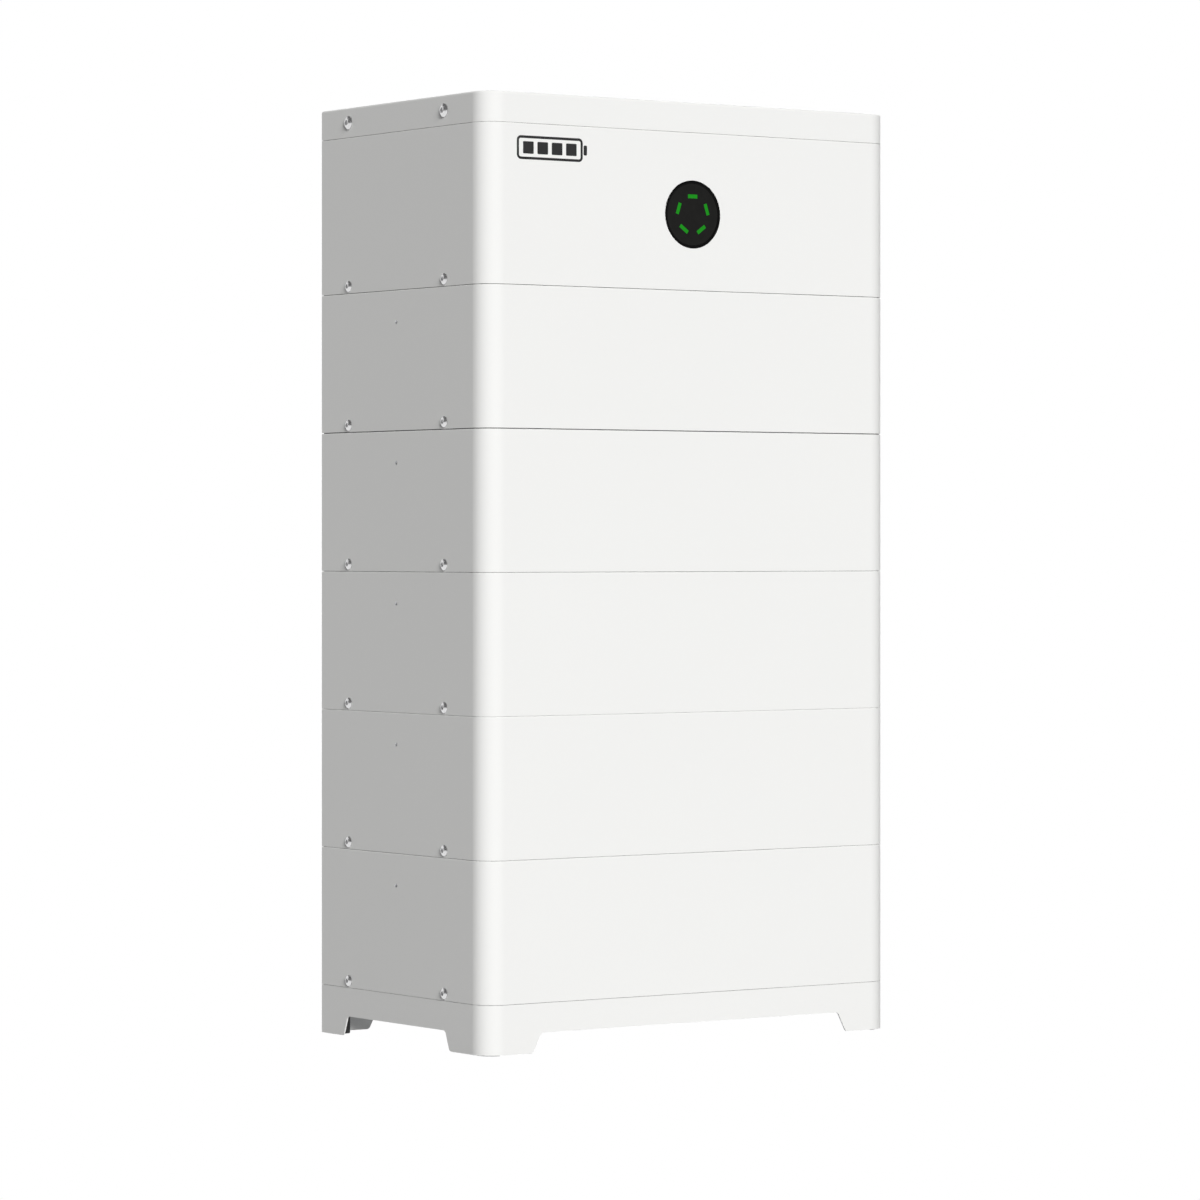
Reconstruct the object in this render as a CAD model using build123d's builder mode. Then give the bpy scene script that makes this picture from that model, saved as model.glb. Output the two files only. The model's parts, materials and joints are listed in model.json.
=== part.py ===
from build123d import *
import os

# Floor-standing battery tower: a base on four feet, five stacked battery
# modules, a control unit with a round indicator, and a lid. It stands against
# a wall, held by a rail at its back.
# Frame: X left to right, Y front to back, Z up. The origin is on the floor
# under the middle of the whole, wall rail included. The front faces -Y.
# All sizes are in millimetres.

# ---- overall sizes ----
width = 515.0
depth = 310.0
base_height = 51.5
module_pitch = 145.0
module_count = 5
control_height = 163.0
lid_height = 31.0
corner_radius = 22.5
sheet = 1.5
wall_gap = 8.0

# ---- gaps where one housing sits on the next ----
seam_gap = 0.4
close_seam_gap = 0.2
close_seam_index = 2
service_seam_gap = 0.9
control_seam_gap = 0.5
lid_seam_gap = 0.25
top_edge_radius = 1.0
lid_edge_radius = 2.0

# ---- clearances ----
fit_clearance = 0.2
thread_clearance = 0.05
hole_clearance = 0.3
pin_clearance = 0.05
floor_clearance = 1.0

# ---- floor pans and back panels ----
pan_height = 20.0
pan_wall = 22.0
back_flange = 12.0
back_screw_columns = 3
back_screw_inset = 40.0
back_screw_head_radius = 3.5
back_screw_head_height = 2.2
back_screw_radius = 1.55
back_screw_length = 6.0

# ---- brackets and screws that join the units, seen on both sides ----
bracket_front_inset = 74.0
bracket_back_inset = 54.0
bracket_thickness = 3.0
bracket_height = 16.0
bracket_foot = 18.0
bracket_breadth = 24.0
bracket_bend_radius = 2.0
screw_height = 7.5
screw_radius = 2.5
screw_head_radius = 5.9
screw_head_height = 3.4
screw_length = 8.0
screw_rim_share = 0.3
socket_size = 3.0
socket_depth = 1.6
lid_bracket_height = 22.0
lid_screw_height = 15.5
lid_screw_radius = 3.0
lid_screw_head_radius = 7.1
lid_screw_head_height = 4.2

# ---- foam gasket in each seam ----
gasket_width = 8.0
gasket_crush = 2.0

# ---- threaded collars for carrying handles and earth leads ----
handle_hole_depth = 165.0
handle_hole_drop = 33.0
handle_hole_radius = 2.1
handle_collar_radius = 4.2
handle_collar_length = 3.0

# ---- battery cells ----
cell_columns = 8
cell_rows = 2
cell_length = 144.0
cell_thickness = 54.0
cell_height = 101.0
cell_gap = 1.0
row_gap = 4.0
cell_edge_radius = 2.0
cell_lift = 1.0
terminal_offset = 52.0
terminal_length = 16.0
terminal_height = 3.0
terminal_edge = 1.5
busbar_width = 14.0
busbar_thickness = 2.5
end_plate_thickness = 4.0
strap_thickness = 1.2
strap_height = 16.0
strap_levels = (24.0, 76.0)

# ---- monitor board in each module ----
board_thickness = 1.6
board_length = 120.0
board_height = 76.0
board_gap = 9.0
chip_size = 12.0
chip_height = 2.4
chip_count = 4

# ---- blind-mate connectors between the units ----
link_inset = 20.0
link_breadth = 20.0
link_length = 60.0
link_drop = 20.0
link_rise = 6.0
link_pin_radius = 3.3
link_pin_spacing = 30.0
link_pin_length = 14.0
link_gap = 0.5
link_rim = 3.0

# ---- base ----
arch_height = 21.5
front_arch_inset = 58.0
front_arch_slant = 10.5
side_arch_front = 65.0
side_arch_back = 43.0
side_arch_slant = 8.0
arch_fillet = 5.0
foot_length = 18.0
foot_clearance = 0.3
deck_flange = 14.0

# ---- round indicator ----
indicator_rise = 78.5
indicator_radius = 35.0
bezel_width = 3.0
bezel_proud = 0.3
bezel_depth = 7.0
lens_depth = 4.0
lens_edge_radius = 0.6
light_count = 5
light_ring_radius = 18.7
light_length = 12.0
light_breadth = 4.0
light_clearance = 0.05
light_sink = 0.2
indicator_board_radius = 31.0

# ---- bay for the terminals, in the right side ----
bay_offset = 14.0
bay_rise = 83.5
bay_length = 200.0
bay_height = 100.0
bay_depth = 36.0
bay_flange = 8.0
bay_radius = 6.0

# ---- circuit breaker and its flap ----
breaker_offset = -30.0
breaker_width = 36.0
breaker_height = 85.0
breaker_body_depth = 44.0
nose_height = 45.0
nose_depth = 14.5
lever_slot_height = 25.0
lever_slot_width = 27.0
lever_slot_depth = 9.0
lever_axis_sink = 4.0
lever_length = 15.0
lever_thickness = 5.0
lever_width = 26.0
lever_hub_radius = 3.6
lever_lean = 40.0
flap_width = 60.0
flap_bottom_gap = 9.0
flap_thickness = 2.0
flap_axis_drop = 7.0
flap_axis_sink = 6.5
flap_barrel_radius = 3.0
flap_pin_radius = 1.5
flap_ear_width = 4.0
flap_ear_gap = 0.4
flap_corner_radius = 5.0
flap_grip_height = 3.0

# ---- power button ----
button_offset = -80.0
button_radius = 8.0
button_gap = 0.3
button_travel = 2.0
button_room = 3.5
button_proud = 4.5
button_body = 13.0
button_edge_radius = 0.8
housing_radius = 11.0
housing_flange_radius = 13.0
housing_flange_thickness = 2.0
housing_floor = 2.0

# ---- power sockets, glands and earth stud ----
socket_offsets = (22.0, 50.0)
socket_rise = 18.0
socket_radius = 11.0
socket_flange_radius = 13.0
socket_flange_thickness = 2.5
socket_proud = 20.0
socket_bore_radius = 4.0
socket_bore_depth = 20.0
socket_tail = 15.0
gland_drop = 28.0
gland_bore_radius = 3.5
gland_radius = 8.0
gland_nut_flats = 9.5
gland_nut_height = 8.0
gland_proud = 19.0
gland_tail = 8.0
earth_offset = 82.0
earth_radius = 3.0
earth_free_length = 14.0
earth_collar_flats = 5.0
earth_collar_height = 5.0
earth_tail_radius = 2.5
earth_tail_length = 6.0
earth_nut_flats = 4.0
earth_nut_height = 4.0

# ---- inside the control unit ----
control_board_x = -112.0
control_board_y = 152.0
control_board_length = 180.0
control_board_depth = 110.0
control_board_lift = 78.0
standoff_radius = 3.0
contactor_place = 40.0
contactor_depth = 179.0
contactor_length = 44.0
contactor_breadth = 40.0
contactor_height = 56.0
contactor_can_radius = 17.0
contactor_can_height = 10.0
contactor_spacing = 60.0
fuse_x = 70.0
fuse_depth = 81.0
fuse_lift = 22.0
fuse_radius = 11.0
fuse_length = 56.0
fuse_tab_length = 18.0
fuse_tab_width = 18.0
busbar_wide = 16.0
lead_radius = 3.0
lead_bend = 7.0
lead_reach = 15.0

# ---- rail and hooks at the wall ----
rail_length = 360.0
rail_height = 32.0
rail_rise = 93.5
rail_thickness = 2.0
rail_lip = 16.0
slot_spacing = 280.0
slot_length = 24.0
slot_radius = 3.5
hook_spacing = 180.0
hook_width = 60.0
hook_pad_height = 26.0
hook_gap = 0.3

# ---- worked out from the sizes above ----
front_y = -(depth + wall_gap) / 2
back_y = front_y + depth
wall_y = back_y + wall_gap
side_x = width / 2
inner_side_x = side_x - sheet
seam_levels = [base_height + index * module_pitch for index in range(module_count + 1)]
control_bottom = seam_levels[module_count]
lid_level = control_bottom + control_height
top_level = lid_level + lid_height
seam_gaps = [seam_gap] * module_count + [control_seam_gap]
seam_gaps[close_seam_index] = close_seam_gap
seam_gaps[module_count - 1] = service_seam_gap
bracket_ys = (front_y + bracket_front_inset, back_y - bracket_back_inset)
handle_y = front_y + handle_hole_depth
middle_y = (front_y + back_y) / 2
indicator_level = control_bottom + indicator_rise
rail_level = control_bottom + rail_rise
bay_y = middle_y + bay_offset
bay_level = control_bottom + bay_rise
breaker_y = bay_y + breaker_offset
button_y = bay_y + button_offset
socket_ys = [bay_y + offset for offset in socket_offsets]
socket_level = bay_level + socket_rise
gland_level = bay_level - gland_drop
earth_y = bay_y + earth_offset
flap_height = bay_height - flap_axis_drop - flap_bottom_gap
housing_depth = button_body - button_proud + button_travel + button_room + housing_floor
bay_floor_x = side_x - bay_depth
os.makedirs("parts", exist_ok=True)


def save(piece, node):
    """Label a finished piece and write it as its own STEP file."""
    piece.part.label = node
    export_step(piece.part, f"parts/{node}.step")


def footprint(inset, back_inset=None):
    """Plan outline: sharp at the back, rounded at the two front corners."""
    back = inset if back_inset is None else back_inset
    centre_y = (front_y + inset + back_y - back) / 2
    with BuildSketch() as outline:
        with Locations((0, centre_y)):
            Rectangle(width - 2 * inset, depth - inset - back)
        front_corners = outline.vertices().group_by(Axis.Y)[0]
        fillet(front_corners, corner_radius - inset)
    return outline.sketch


def frame_outline(inset, band):
    """A closed band that follows the plan outline."""
    with BuildSketch() as outline:
        add(footprint(inset))
        add(footprint(inset + band), mode=Mode.SUBTRACT)
    return outline.sketch


def domed_screw(head_radius, head_height, shank_radius, length):
    """A button-head screw along +Z, its head's underside at the origin."""
    dome = head_height * (1 - screw_rim_share)
    ball_radius = (head_radius**2 + dome**2) / (2 * dome)
    with BuildPart() as screw:
        Cylinder(head_radius, head_height, align=(Align.CENTER, Align.CENTER, Align.MIN))
        with Locations((0, 0, head_height - ball_radius)):
            Sphere(ball_radius, mode=Mode.INTERSECT)
        with BuildSketch(Plane.XY.offset(head_height)):
            RegularPolygon(socket_size / 2, 6)
        extrude(amount=-socket_depth, mode=Mode.SUBTRACT)
        with Locations((0, 0, -length / 2)):
            Cylinder(shank_radius, length)
    return screw.part


side_turns = {-1: (0, -90, 0), 1: (0, 90, 0)}


def side_places(levels):
    """Places on both sides at the brackets' depths, +Z pointing outwards."""
    return [
        Location((side * side_x, y, level), side_turns[side])
        for side in (-1, 1)
        for y in bracket_ys
        for level in levels
    ]


# ---- shared parts of every housing ----
def bent_cover(bottom, top, screw_level):
    """Front, both sides and top, bent from one sheet, with its screw holes."""
    with BuildPart() as cover:
        with BuildSketch(Plane.XY.offset(bottom)):
            add(footprint(0))
        extrude(amount=top - bottom)
        fillet(cover.faces().sort_by(Axis.Z)[-1].edges(), top_edge_radius)
        with BuildSketch(Plane.XY.offset(bottom)):
            add(footprint(sheet, 0))
        extrude(amount=top - bottom - sheet, mode=Mode.SUBTRACT)
        with Locations((0, back_y - 1.5 * sheet, top - sheet - back_flange / 2)):
            Box(width - 2 * sheet, sheet, back_flange)
        with Locations(*side_places([screw_level])):
            Hole(screw_radius + hole_clearance, depth=2 * sheet)
        with Locations(*back_screw_places(bottom, top)):
            Hole(back_screw_radius + thread_clearance, depth=back_screw_length)
    return cover.part


def make_back(node, bottom, top, hook_places):
    """Flat back panel, with a row of screw holes along its top and its bottom."""
    panel_top = top - sheet - fit_clearance
    with BuildPart() as back:
        with Locations((0, back_y - sheet / 2, (bottom + panel_top) / 2)):
            Box(width - 2 * (sheet + fit_clearance), sheet, panel_top - bottom)
        with Locations(*back_screw_places(bottom, top)):
            Hole(back_screw_radius + hole_clearance, depth=2 * sheet)
        if hook_places:
            with Locations(*hook_places):
                Hole(back_screw_radius + thread_clearance, depth=back_screw_length)
    save(back, node)


def back_screw_places(bottom, top):
    """Places of one back panel's screws, +Z pointing backwards."""
    low = bottom + pan_height + pan_wall / 2
    high = top - sheet - back_flange / 2
    span = width - 2 * back_screw_inset
    step = span / (back_screw_columns - 1)
    return [
        Location((column * step - span / 2, back_y, level), (-90, 0, 0))
        for column in range(back_screw_columns)
        for level in (low, high)
    ]


def floor_pan(bottom, top):
    """Floor pan that carries what a unit holds, and stiffens its skirt."""
    pan_inset = sheet + fit_clearance
    with BuildPart() as pan:
        with BuildSketch(Plane.XY.offset(bottom + pan_height)):
            add(footprint(pan_inset, sheet))
        extrude(amount=pan_wall)
        with BuildSketch(Plane.XY.offset(bottom + pan_height + sheet)):
            add(footprint(pan_inset + sheet, 2 * sheet))
        extrude(amount=pan_wall, mode=Mode.SUBTRACT)
        with Locations(*back_screw_places(bottom, top)):
            Hole(back_screw_radius + thread_clearance, depth=back_screw_length)
    return pan.part


def unit_bottom(index):
    return seam_levels[index] + seam_gaps[index] / 2


def unit_top(index):
    if index == module_count:
        return lid_level - lid_seam_gap / 2
    return seam_levels[index + 1] - seam_gaps[index + 1] / 2


link_x = -side_x + link_inset
link_y = middle_y


# ---- battery modules ----
def make_module_pan(index):
    with BuildPart() as pan:
        add(floor_pan(unit_bottom(index), unit_top(index)))
    save(pan, f"module_{index + 1}_pan")


def make_module_cover(index):
    bottom = unit_bottom(index)
    top = unit_top(index)
    hole_level = seam_levels[index + 1] - handle_hole_drop
    collar_places = [
        Location((side * inner_side_x, handle_y, hole_level), side_turns[side])
        for side in (-1, 1)
    ]
    with BuildPart() as cover:
        add(bent_cover(bottom, top, seam_levels[index] + screw_height))
        with Locations(*collar_places):
            Cylinder(
                handle_collar_radius,
                handle_collar_length,
                align=(Align.CENTER, Align.CENTER, Align.MAX),
            )
        with Locations(*collar_places):
            Cylinder(
                handle_hole_radius,
                2 * (handle_collar_length + sheet),
                mode=Mode.SUBTRACT,
            )
        with Locations((link_x, link_y, top)):
            Box(
                link_breadth + 2 * fit_clearance,
                link_length + 2 * fit_clearance,
                4 * sheet,
                mode=Mode.SUBTRACT,
            )
    save(cover, f"module_{index + 1}_cover")


cell_pitch = cell_thickness + cell_gap
row_pitch = cell_length + row_gap
pack_length = cell_columns * cell_thickness + (cell_columns - 1) * cell_gap
pack_depth = cell_rows * cell_length + (cell_rows - 1) * row_gap


def cells_bottom(index):
    return unit_bottom(index) + pan_height + sheet + cell_lift


def column_x(column):
    return (column - (cell_columns - 1) / 2) * cell_pitch


def row_y(row):
    return middle_y + (row - (cell_rows - 1) / 2) * row_pitch


def make_cells(index):
    """Upright flat cells in two rows, each with two terminal pads."""
    low = cells_bottom(index)
    with BuildPart() as cells:
        with Locations((0, middle_y, low)):
            with GridLocations(cell_pitch, row_pitch, cell_columns, cell_rows):
                Box(
                    cell_thickness,
                    cell_length,
                    cell_height,
                    align=(Align.CENTER, Align.CENTER, Align.MIN),
                )
        fillet(cells.edges().filter_by(Axis.Z), cell_edge_radius)
        for end in (-1, 1):
            with Locations((0, middle_y + end * terminal_offset, low + cell_height)):
                with GridLocations(cell_pitch, row_pitch, cell_columns, cell_rows):
                    Box(
                        terminal_length,
                        terminal_length,
                        terminal_height,
                        align=(Align.CENTER, Align.CENTER, Align.MIN),
                    )
    save(cells, f"module_{index + 1}_cells")


def make_cell_busbars():
    """Links from cell to cell, and one from the front row to the back row."""
    link_span = cell_pitch + busbar_width
    with BuildPart() as busbars:
        for index in range(module_count):
            low = cells_bottom(index) + cell_height + terminal_height
            for row in range(cell_rows):
                for column in range(cell_columns - 1):
                    first_end = -1 if row == 0 else 1
                    end = first_end if column % 2 == 0 else -first_end
                    x = (column_x(column) + column_x(column + 1)) / 2
                    with BuildSketch(Plane.XY.offset(low)):
                        with Locations((x, row_y(row) + end * terminal_offset)):
                            RectangleRounded(link_span, busbar_width, busbar_width / 4)
            last = column_x(cell_columns - 1)
            cross_span = row_pitch - 2 * terminal_offset + busbar_width
            with BuildSketch(Plane.XY.offset(low)):
                with Locations((last, middle_y)):
                    RectangleRounded(busbar_width, cross_span, busbar_width / 4)
        extrude(amount=busbar_thickness)
    save(busbars, "cell_busbars")


def make_cell_clamps():
    """End plates and flat straps that hold each pack of cells together."""
    strap_length = pack_length + 2 * (end_plate_thickness + strap_thickness)
    with BuildPart() as clamps:
        for index in range(module_count):
            low = cells_bottom(index)
            for side in (-1, 1):
                with Locations((side * (pack_length + end_plate_thickness) / 2, middle_y, low)):
                    Box(
                        end_plate_thickness,
                        pack_depth,
                        cell_height - 2 * terminal_edge,
                        align=(Align.CENTER, Align.CENTER, Align.MIN),
                    )
            for level in strap_levels:
                with BuildSketch(Plane.XY.offset(low + level)):
                    with Locations((0, middle_y)):
                        Rectangle(strap_length, pack_depth + 2 * strap_thickness)
                        Rectangle(
                            strap_length - 2 * strap_thickness,
                            pack_depth,
                            mode=Mode.SUBTRACT,
                        )
                extrude(amount=strap_height)
    save(clamps, "cell_clamps")


def make_monitor_boards():
    """One upright circuit board beside each pack, standing on the pan."""
    board_x = pack_length / 2 + end_plate_thickness + board_gap
    chip_step = board_length / chip_count
    with BuildPart() as boards:
        for index in range(module_count):
            low = unit_bottom(index) + pan_height + sheet
            with Locations((board_x, middle_y, low)):
                Box(
                    board_thickness,
                    board_length,
                    board_height,
                    align=(Align.CENTER, Align.CENTER, Align.MIN),
                )
            for chip in range(chip_count):
                chip_y = middle_y + (chip - (chip_count - 1) / 2) * chip_step
                with Locations((board_x + board_thickness / 2, chip_y, low + board_height / 2)):
                    Box(
                        chip_height,
                        chip_size,
                        chip_size,
                        align=(Align.MIN, Align.CENTER, Align.CENTER),
                    )
    save(boards, "monitor_boards")


# ---- connectors between the units ----
def make_stack_sockets():
    """Socket that stands up through the top of each module."""
    with BuildPart() as sockets:
        for index in range(module_count):
            with Locations((link_x, link_y, unit_top(index) - sheet)):
                Box(
                    link_breadth + 2 * link_rim,
                    link_length + 2 * link_rim,
                    link_rim,
                    align=(Align.CENTER, Align.CENTER, Align.MAX),
                )
            with Locations((link_x, link_y, seam_levels[index + 1] + link_rise)):
                Box(
                    link_breadth,
                    link_length,
                    link_drop + link_rise,
                    align=(Align.CENTER, Align.CENTER, Align.MAX),
                )
                with GridLocations(1, link_pin_spacing, 1, 2):
                    Cylinder(
                        link_pin_radius + fit_clearance,
                        link_pin_length + link_gap,
                        align=(Align.CENTER, Align.CENTER, Align.MAX),
                        mode=Mode.SUBTRACT,
                    )
    save(sockets, "stack_sockets")


def make_stack_plugs():
    """Plug under each pan, its pins in the socket of the module below."""
    with BuildPart() as plugs:
        for index in range(1, module_count + 1):
            seam = seam_levels[index]
            face = seam + link_rise + link_gap
            pan_underside = unit_bottom(index) + pan_height
            with Locations((link_x, link_y, face)):
                Box(
                    link_breadth,
                    link_length,
                    pan_underside - face,
                    align=(Align.CENTER, Align.CENTER, Align.MIN),
                )
                with GridLocations(1, link_pin_spacing, 1, 2):
                    Cylinder(
                        link_pin_radius,
                        link_pin_length,
                        align=(Align.CENTER, Align.CENTER, Align.MAX),
                    )
    save(plugs, "stack_plugs")


# ---- brackets, screws and gaskets of every seam ----
def angle_bracket(height, hole_level, hole_radius):
    """Angle bracket: its upright's outer face is at x = 0, its foot on z = 0."""
    with BuildPart() as bracket:
        with BuildSketch(Plane.XZ):
            with BuildLine():
                Polyline(
                    (0, 0),
                    (0, height),
                    (-bracket_thickness, height),
                    (-bracket_thickness, bracket_thickness),
                    (-bracket_foot, bracket_thickness),
                    (-bracket_foot, 0),
                    close=True,
                )
            make_face()
        extrude(amount=bracket_breadth / 2, both=True)
        inner_bend = bracket.edges().filter_by(Axis.Y).sort_by_distance(
            (-bracket_thickness, 0, bracket_thickness)
        )[0]
        fillet(inner_bend, bracket_bend_radius)
        with Locations(Location((0, 0, hole_level), (0, 90, 0))):
            Hole(hole_radius, depth=2 * bracket_thickness)
    return bracket.part


bracket_turns = {-1: (0, 0, 180), 1: (0, 0, 0)}


def bracket_places(surfaces):
    return [
        Location((side * inner_side_x, y, surface), bracket_turns[side])
        for side in (-1, 1)
        for y in bracket_ys
        for surface in surfaces
    ]


seam_surfaces = [level - gap / 2 for level, gap in zip(seam_levels, seam_gaps)]
lid_surface = lid_level - lid_seam_gap / 2


def make_corner_brackets():
    """Brackets that stand on each unit, inside the skirt of the one above."""
    lid_bracket = angle_bracket(
        lid_bracket_height,
        lid_level + lid_screw_height - lid_surface,
        lid_screw_radius + thread_clearance,
    )
    with BuildPart() as brackets:
        for level, surface in zip(seam_levels, seam_surfaces):
            bracket = angle_bracket(
                bracket_height,
                level + screw_height - surface,
                screw_radius + thread_clearance,
            )
            with Locations(*bracket_places([surface])):
                add(bracket)
        with Locations(*bracket_places([lid_surface])):
            add(lid_bracket)
    save(brackets, "corner_brackets")


def make_stacking_screws():
    screw = domed_screw(screw_head_radius, screw_head_height, screw_radius, screw_length)
    levels = [level + screw_height for level in seam_levels]
    with BuildPart() as screws:
        with Locations(*side_places(levels)):
            add(screw)
    save(screws, "stacking_screws")


def make_lid_screws():
    screw = domed_screw(
        lid_screw_head_radius, lid_screw_head_height, lid_screw_radius, screw_length
    )
    with BuildPart() as screws:
        with Locations(*side_places([lid_level + lid_screw_height])):
            add(screw)
    save(screws, "lid_screws")


def make_back_screws():
    screw = domed_screw(
        back_screw_head_radius, back_screw_head_height, back_screw_radius, back_screw_length
    )
    with BuildPart() as screws:
        for index in range(module_count + 1):
            with Locations(*back_screw_places(unit_bottom(index), unit_top(index))):
                add(screw)
    save(screws, "back_screws")


def make_seam_gaskets():
    """Foam strip round each seam, notched where a bracket stands."""
    levels = seam_levels + [lid_level]
    gaps = seam_gaps + [lid_seam_gap]
    surfaces = seam_surfaces + [lid_surface]
    strip = frame_outline(sheet + fit_clearance, gasket_width)
    with BuildPart() as gaskets:
        for surface, gap in zip(surfaces, gaps):
            with BuildSketch(Plane.XY.offset(surface)):
                add(strip)
            extrude(amount=gap + gasket_crush)
        for y in bracket_ys:
            with Locations((0, y, (levels[0] + levels[-1]) / 2)):
                Box(
                    2 * side_x,
                    bracket_breadth + 2 * hole_clearance,
                    levels[-1],
                    mode=Mode.SUBTRACT,
                )
    save(gaskets, "seam_gaskets")


# ---- base ----
def arch(half_floor, half_top):
    """Cut-out between two feet, drawn from the floor up about x = 0."""
    flare = arch_fillet
    with BuildSketch() as opening:
        with BuildLine():
            Polyline(
                (-half_floor - flare, -arch_height),
                (-half_floor - flare, floor_clearance),
                (-half_floor, floor_clearance),
                (-half_top, arch_height),
                (half_top, arch_height),
                (half_floor, floor_clearance),
                (half_floor + flare, floor_clearance),
                (half_floor + flare, -arch_height),
                close=True,
            )
        make_face()
        top_corners = opening.vertices().group_by(Axis.Y)[-1]
        toe_corners = opening.vertices().group_by(Axis.Y)[-2].sort_by(Axis.X)[1:-1]
        fillet(top_corners + toe_corners, arch_fillet)
    return opening.sketch


front_arch = arch(side_x - front_arch_inset, side_x - front_arch_inset - front_arch_slant)
side_arch_half = (depth - side_arch_front - side_arch_back) / 2
side_arch = arch(side_arch_half, side_arch_half - side_arch_slant)
side_arch_y = (front_y + side_arch_front + back_y - side_arch_back) / 2


def arch_planes():
    """A plane in each wall of the skirt, X along the wall, Z inwards."""
    front = Plane((0, front_y, 0), x_dir=(1, 0, 0), z_dir=(0, -1, 0))
    back = Plane((0, back_y, 0), x_dir=(-1, 0, 0), z_dir=(0, 1, 0))
    left = Plane((-side_x, side_arch_y, 0), x_dir=(0, -1, 0), z_dir=(-1, 0, 0))
    right = Plane((side_x, side_arch_y, 0), x_dir=(0, 1, 0), z_dir=(1, 0, 0))
    return [(front, front_arch), (back, front_arch), (left, side_arch), (right, side_arch)]


deck_top = seam_surfaces[0]


def make_base_skirt():
    """Sheet round all four sides, arched between its feet."""
    with BuildPart() as skirt:
        with BuildSketch(Plane.XY.offset(floor_clearance)):
            add(frame_outline(0, sheet))
        extrude(amount=deck_top - floor_clearance)
        for plane, opening in arch_planes():
            with BuildSketch(plane):
                add(opening)
            extrude(amount=-2 * sheet, mode=Mode.SUBTRACT)
    save(skirt, "base_skirt")


def make_base_deck():
    """Top plate of the base, its rim turned down inside the skirt."""
    rim_inset = sheet + fit_clearance
    with BuildPart() as deck:
        with BuildSketch(Plane.XY.offset(deck_top)):
            add(footprint(rim_inset))
        extrude(amount=-deck_flange)
        with BuildSketch(Plane.XY.offset(deck_top - sheet)):
            add(footprint(rim_inset + sheet))
        extrude(amount=-deck_flange, mode=Mode.SUBTRACT)
    save(deck, "base_deck")


def make_base_feet():
    """Hard block under each corner of the deck, down to the floor."""
    foot_inset = 2 * sheet + 2 * foot_clearance
    foot_x = side_x - foot_inset - foot_length / 2
    front_foot_y = front_y + foot_inset + foot_length / 2
    back_foot_y = back_y - foot_inset - foot_length / 2
    corners = [(side * foot_x, y) for side in (-1, 1) for y in (front_foot_y, back_foot_y)]
    with BuildPart() as feet:
        with BuildSketch():
            with Locations(*corners):
                Rectangle(foot_length, foot_length)
            add(footprint(foot_inset), mode=Mode.INTERSECT)
        extrude(amount=deck_top - sheet)
        fillet(feet.faces().group_by(Axis.Z)[0].edges(), sheet)
    save(feet, "base_feet")


# ---- round indicator in the front ----
indicator_plane = Plane((0, front_y, indicator_level), x_dir=(1, 0, 0), z_dir=(0, -1, 0))
lens_radius = indicator_radius - bezel_width


def light_bars(growth):
    """Five short bars set square to their radius, one at the top."""
    with BuildSketch() as bars:
        with PolarLocations(light_ring_radius, light_count, start_angle=90):
            Rectangle(light_breadth + 2 * growth, light_length + 2 * growth)
    return bars.sketch


def make_indicator():
    with BuildPart() as bezel:
        with BuildSketch(indicator_plane.offset(bezel_proud)):
            Circle(indicator_radius)
            Circle(lens_radius + light_clearance, mode=Mode.SUBTRACT)
        extrude(amount=-bezel_depth)
        fillet(bezel.faces().sort_by(Axis.Y)[0].edges(), bezel_proud)
    save(bezel, "indicator_bezel")

    with BuildPart() as lens:
        with BuildSketch(indicator_plane):
            Circle(lens_radius)
        extrude(amount=-lens_depth)
        fillet(lens.faces().sort_by(Axis.Y)[0].edges(), lens_edge_radius)
        with BuildSketch(indicator_plane):
            add(light_bars(light_clearance))
        extrude(amount=-lens_depth, mode=Mode.SUBTRACT)
    save(lens, "indicator_lens")

    with BuildPart() as lights:
        with BuildSketch(indicator_plane.offset(-light_sink)):
            add(light_bars(0))
        extrude(amount=-(lens_depth - light_sink))
    save(lights, "indicator_lights")

    with BuildPart() as board:
        with BuildSketch(indicator_plane.offset(-lens_depth)):
            Circle(indicator_board_radius)
        extrude(amount=-board_thickness)
    save(board, "indicator_board")


# ---- terminal bay in the right side ----
bay_plane = Plane((side_x, bay_y, bay_level), x_dir=(0, 1, 0), z_dir=(1, 0, 0))
floor_plane = Plane((bay_floor_x, 0, 0), x_dir=(0, 1, 0), z_dir=(1, 0, 0))
flap_axis_x = side_x - flap_axis_sink
flap_axis_z = bay_level + bay_height / 2 - flap_axis_drop
ear_y = flap_width / 2 + flap_ear_gap + flap_ear_width / 2


def make_control_cover():
    bottom = unit_bottom(module_count)
    top = unit_top(module_count)
    with BuildPart() as cover:
        add(bent_cover(bottom, top, control_bottom + screw_height))
        with BuildSketch(indicator_plane):
            Circle(indicator_radius + fit_clearance)
        extrude(amount=-2 * sheet, mode=Mode.SUBTRACT)
        with BuildSketch(bay_plane):
            RectangleRounded(bay_length, bay_height, bay_radius)
        extrude(amount=-2 * sheet, mode=Mode.SUBTRACT)
    save(cover, "control_cover")


def make_control_pan():
    """Floor pan with its right wall cut away for the terminal bay."""
    with BuildPart() as pan:
        add(floor_pan(unit_bottom(module_count), unit_top(module_count)))
        with Locations((side_x, bay_y, bay_level)):
            Box(
                2 * bay_depth,
                bay_length + 2 * (bay_flange + fit_clearance),
                bay_height + 2 * (bay_flange + fit_clearance),
                mode=Mode.SUBTRACT,
            )
    save(pan, "control_pan")


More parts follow.
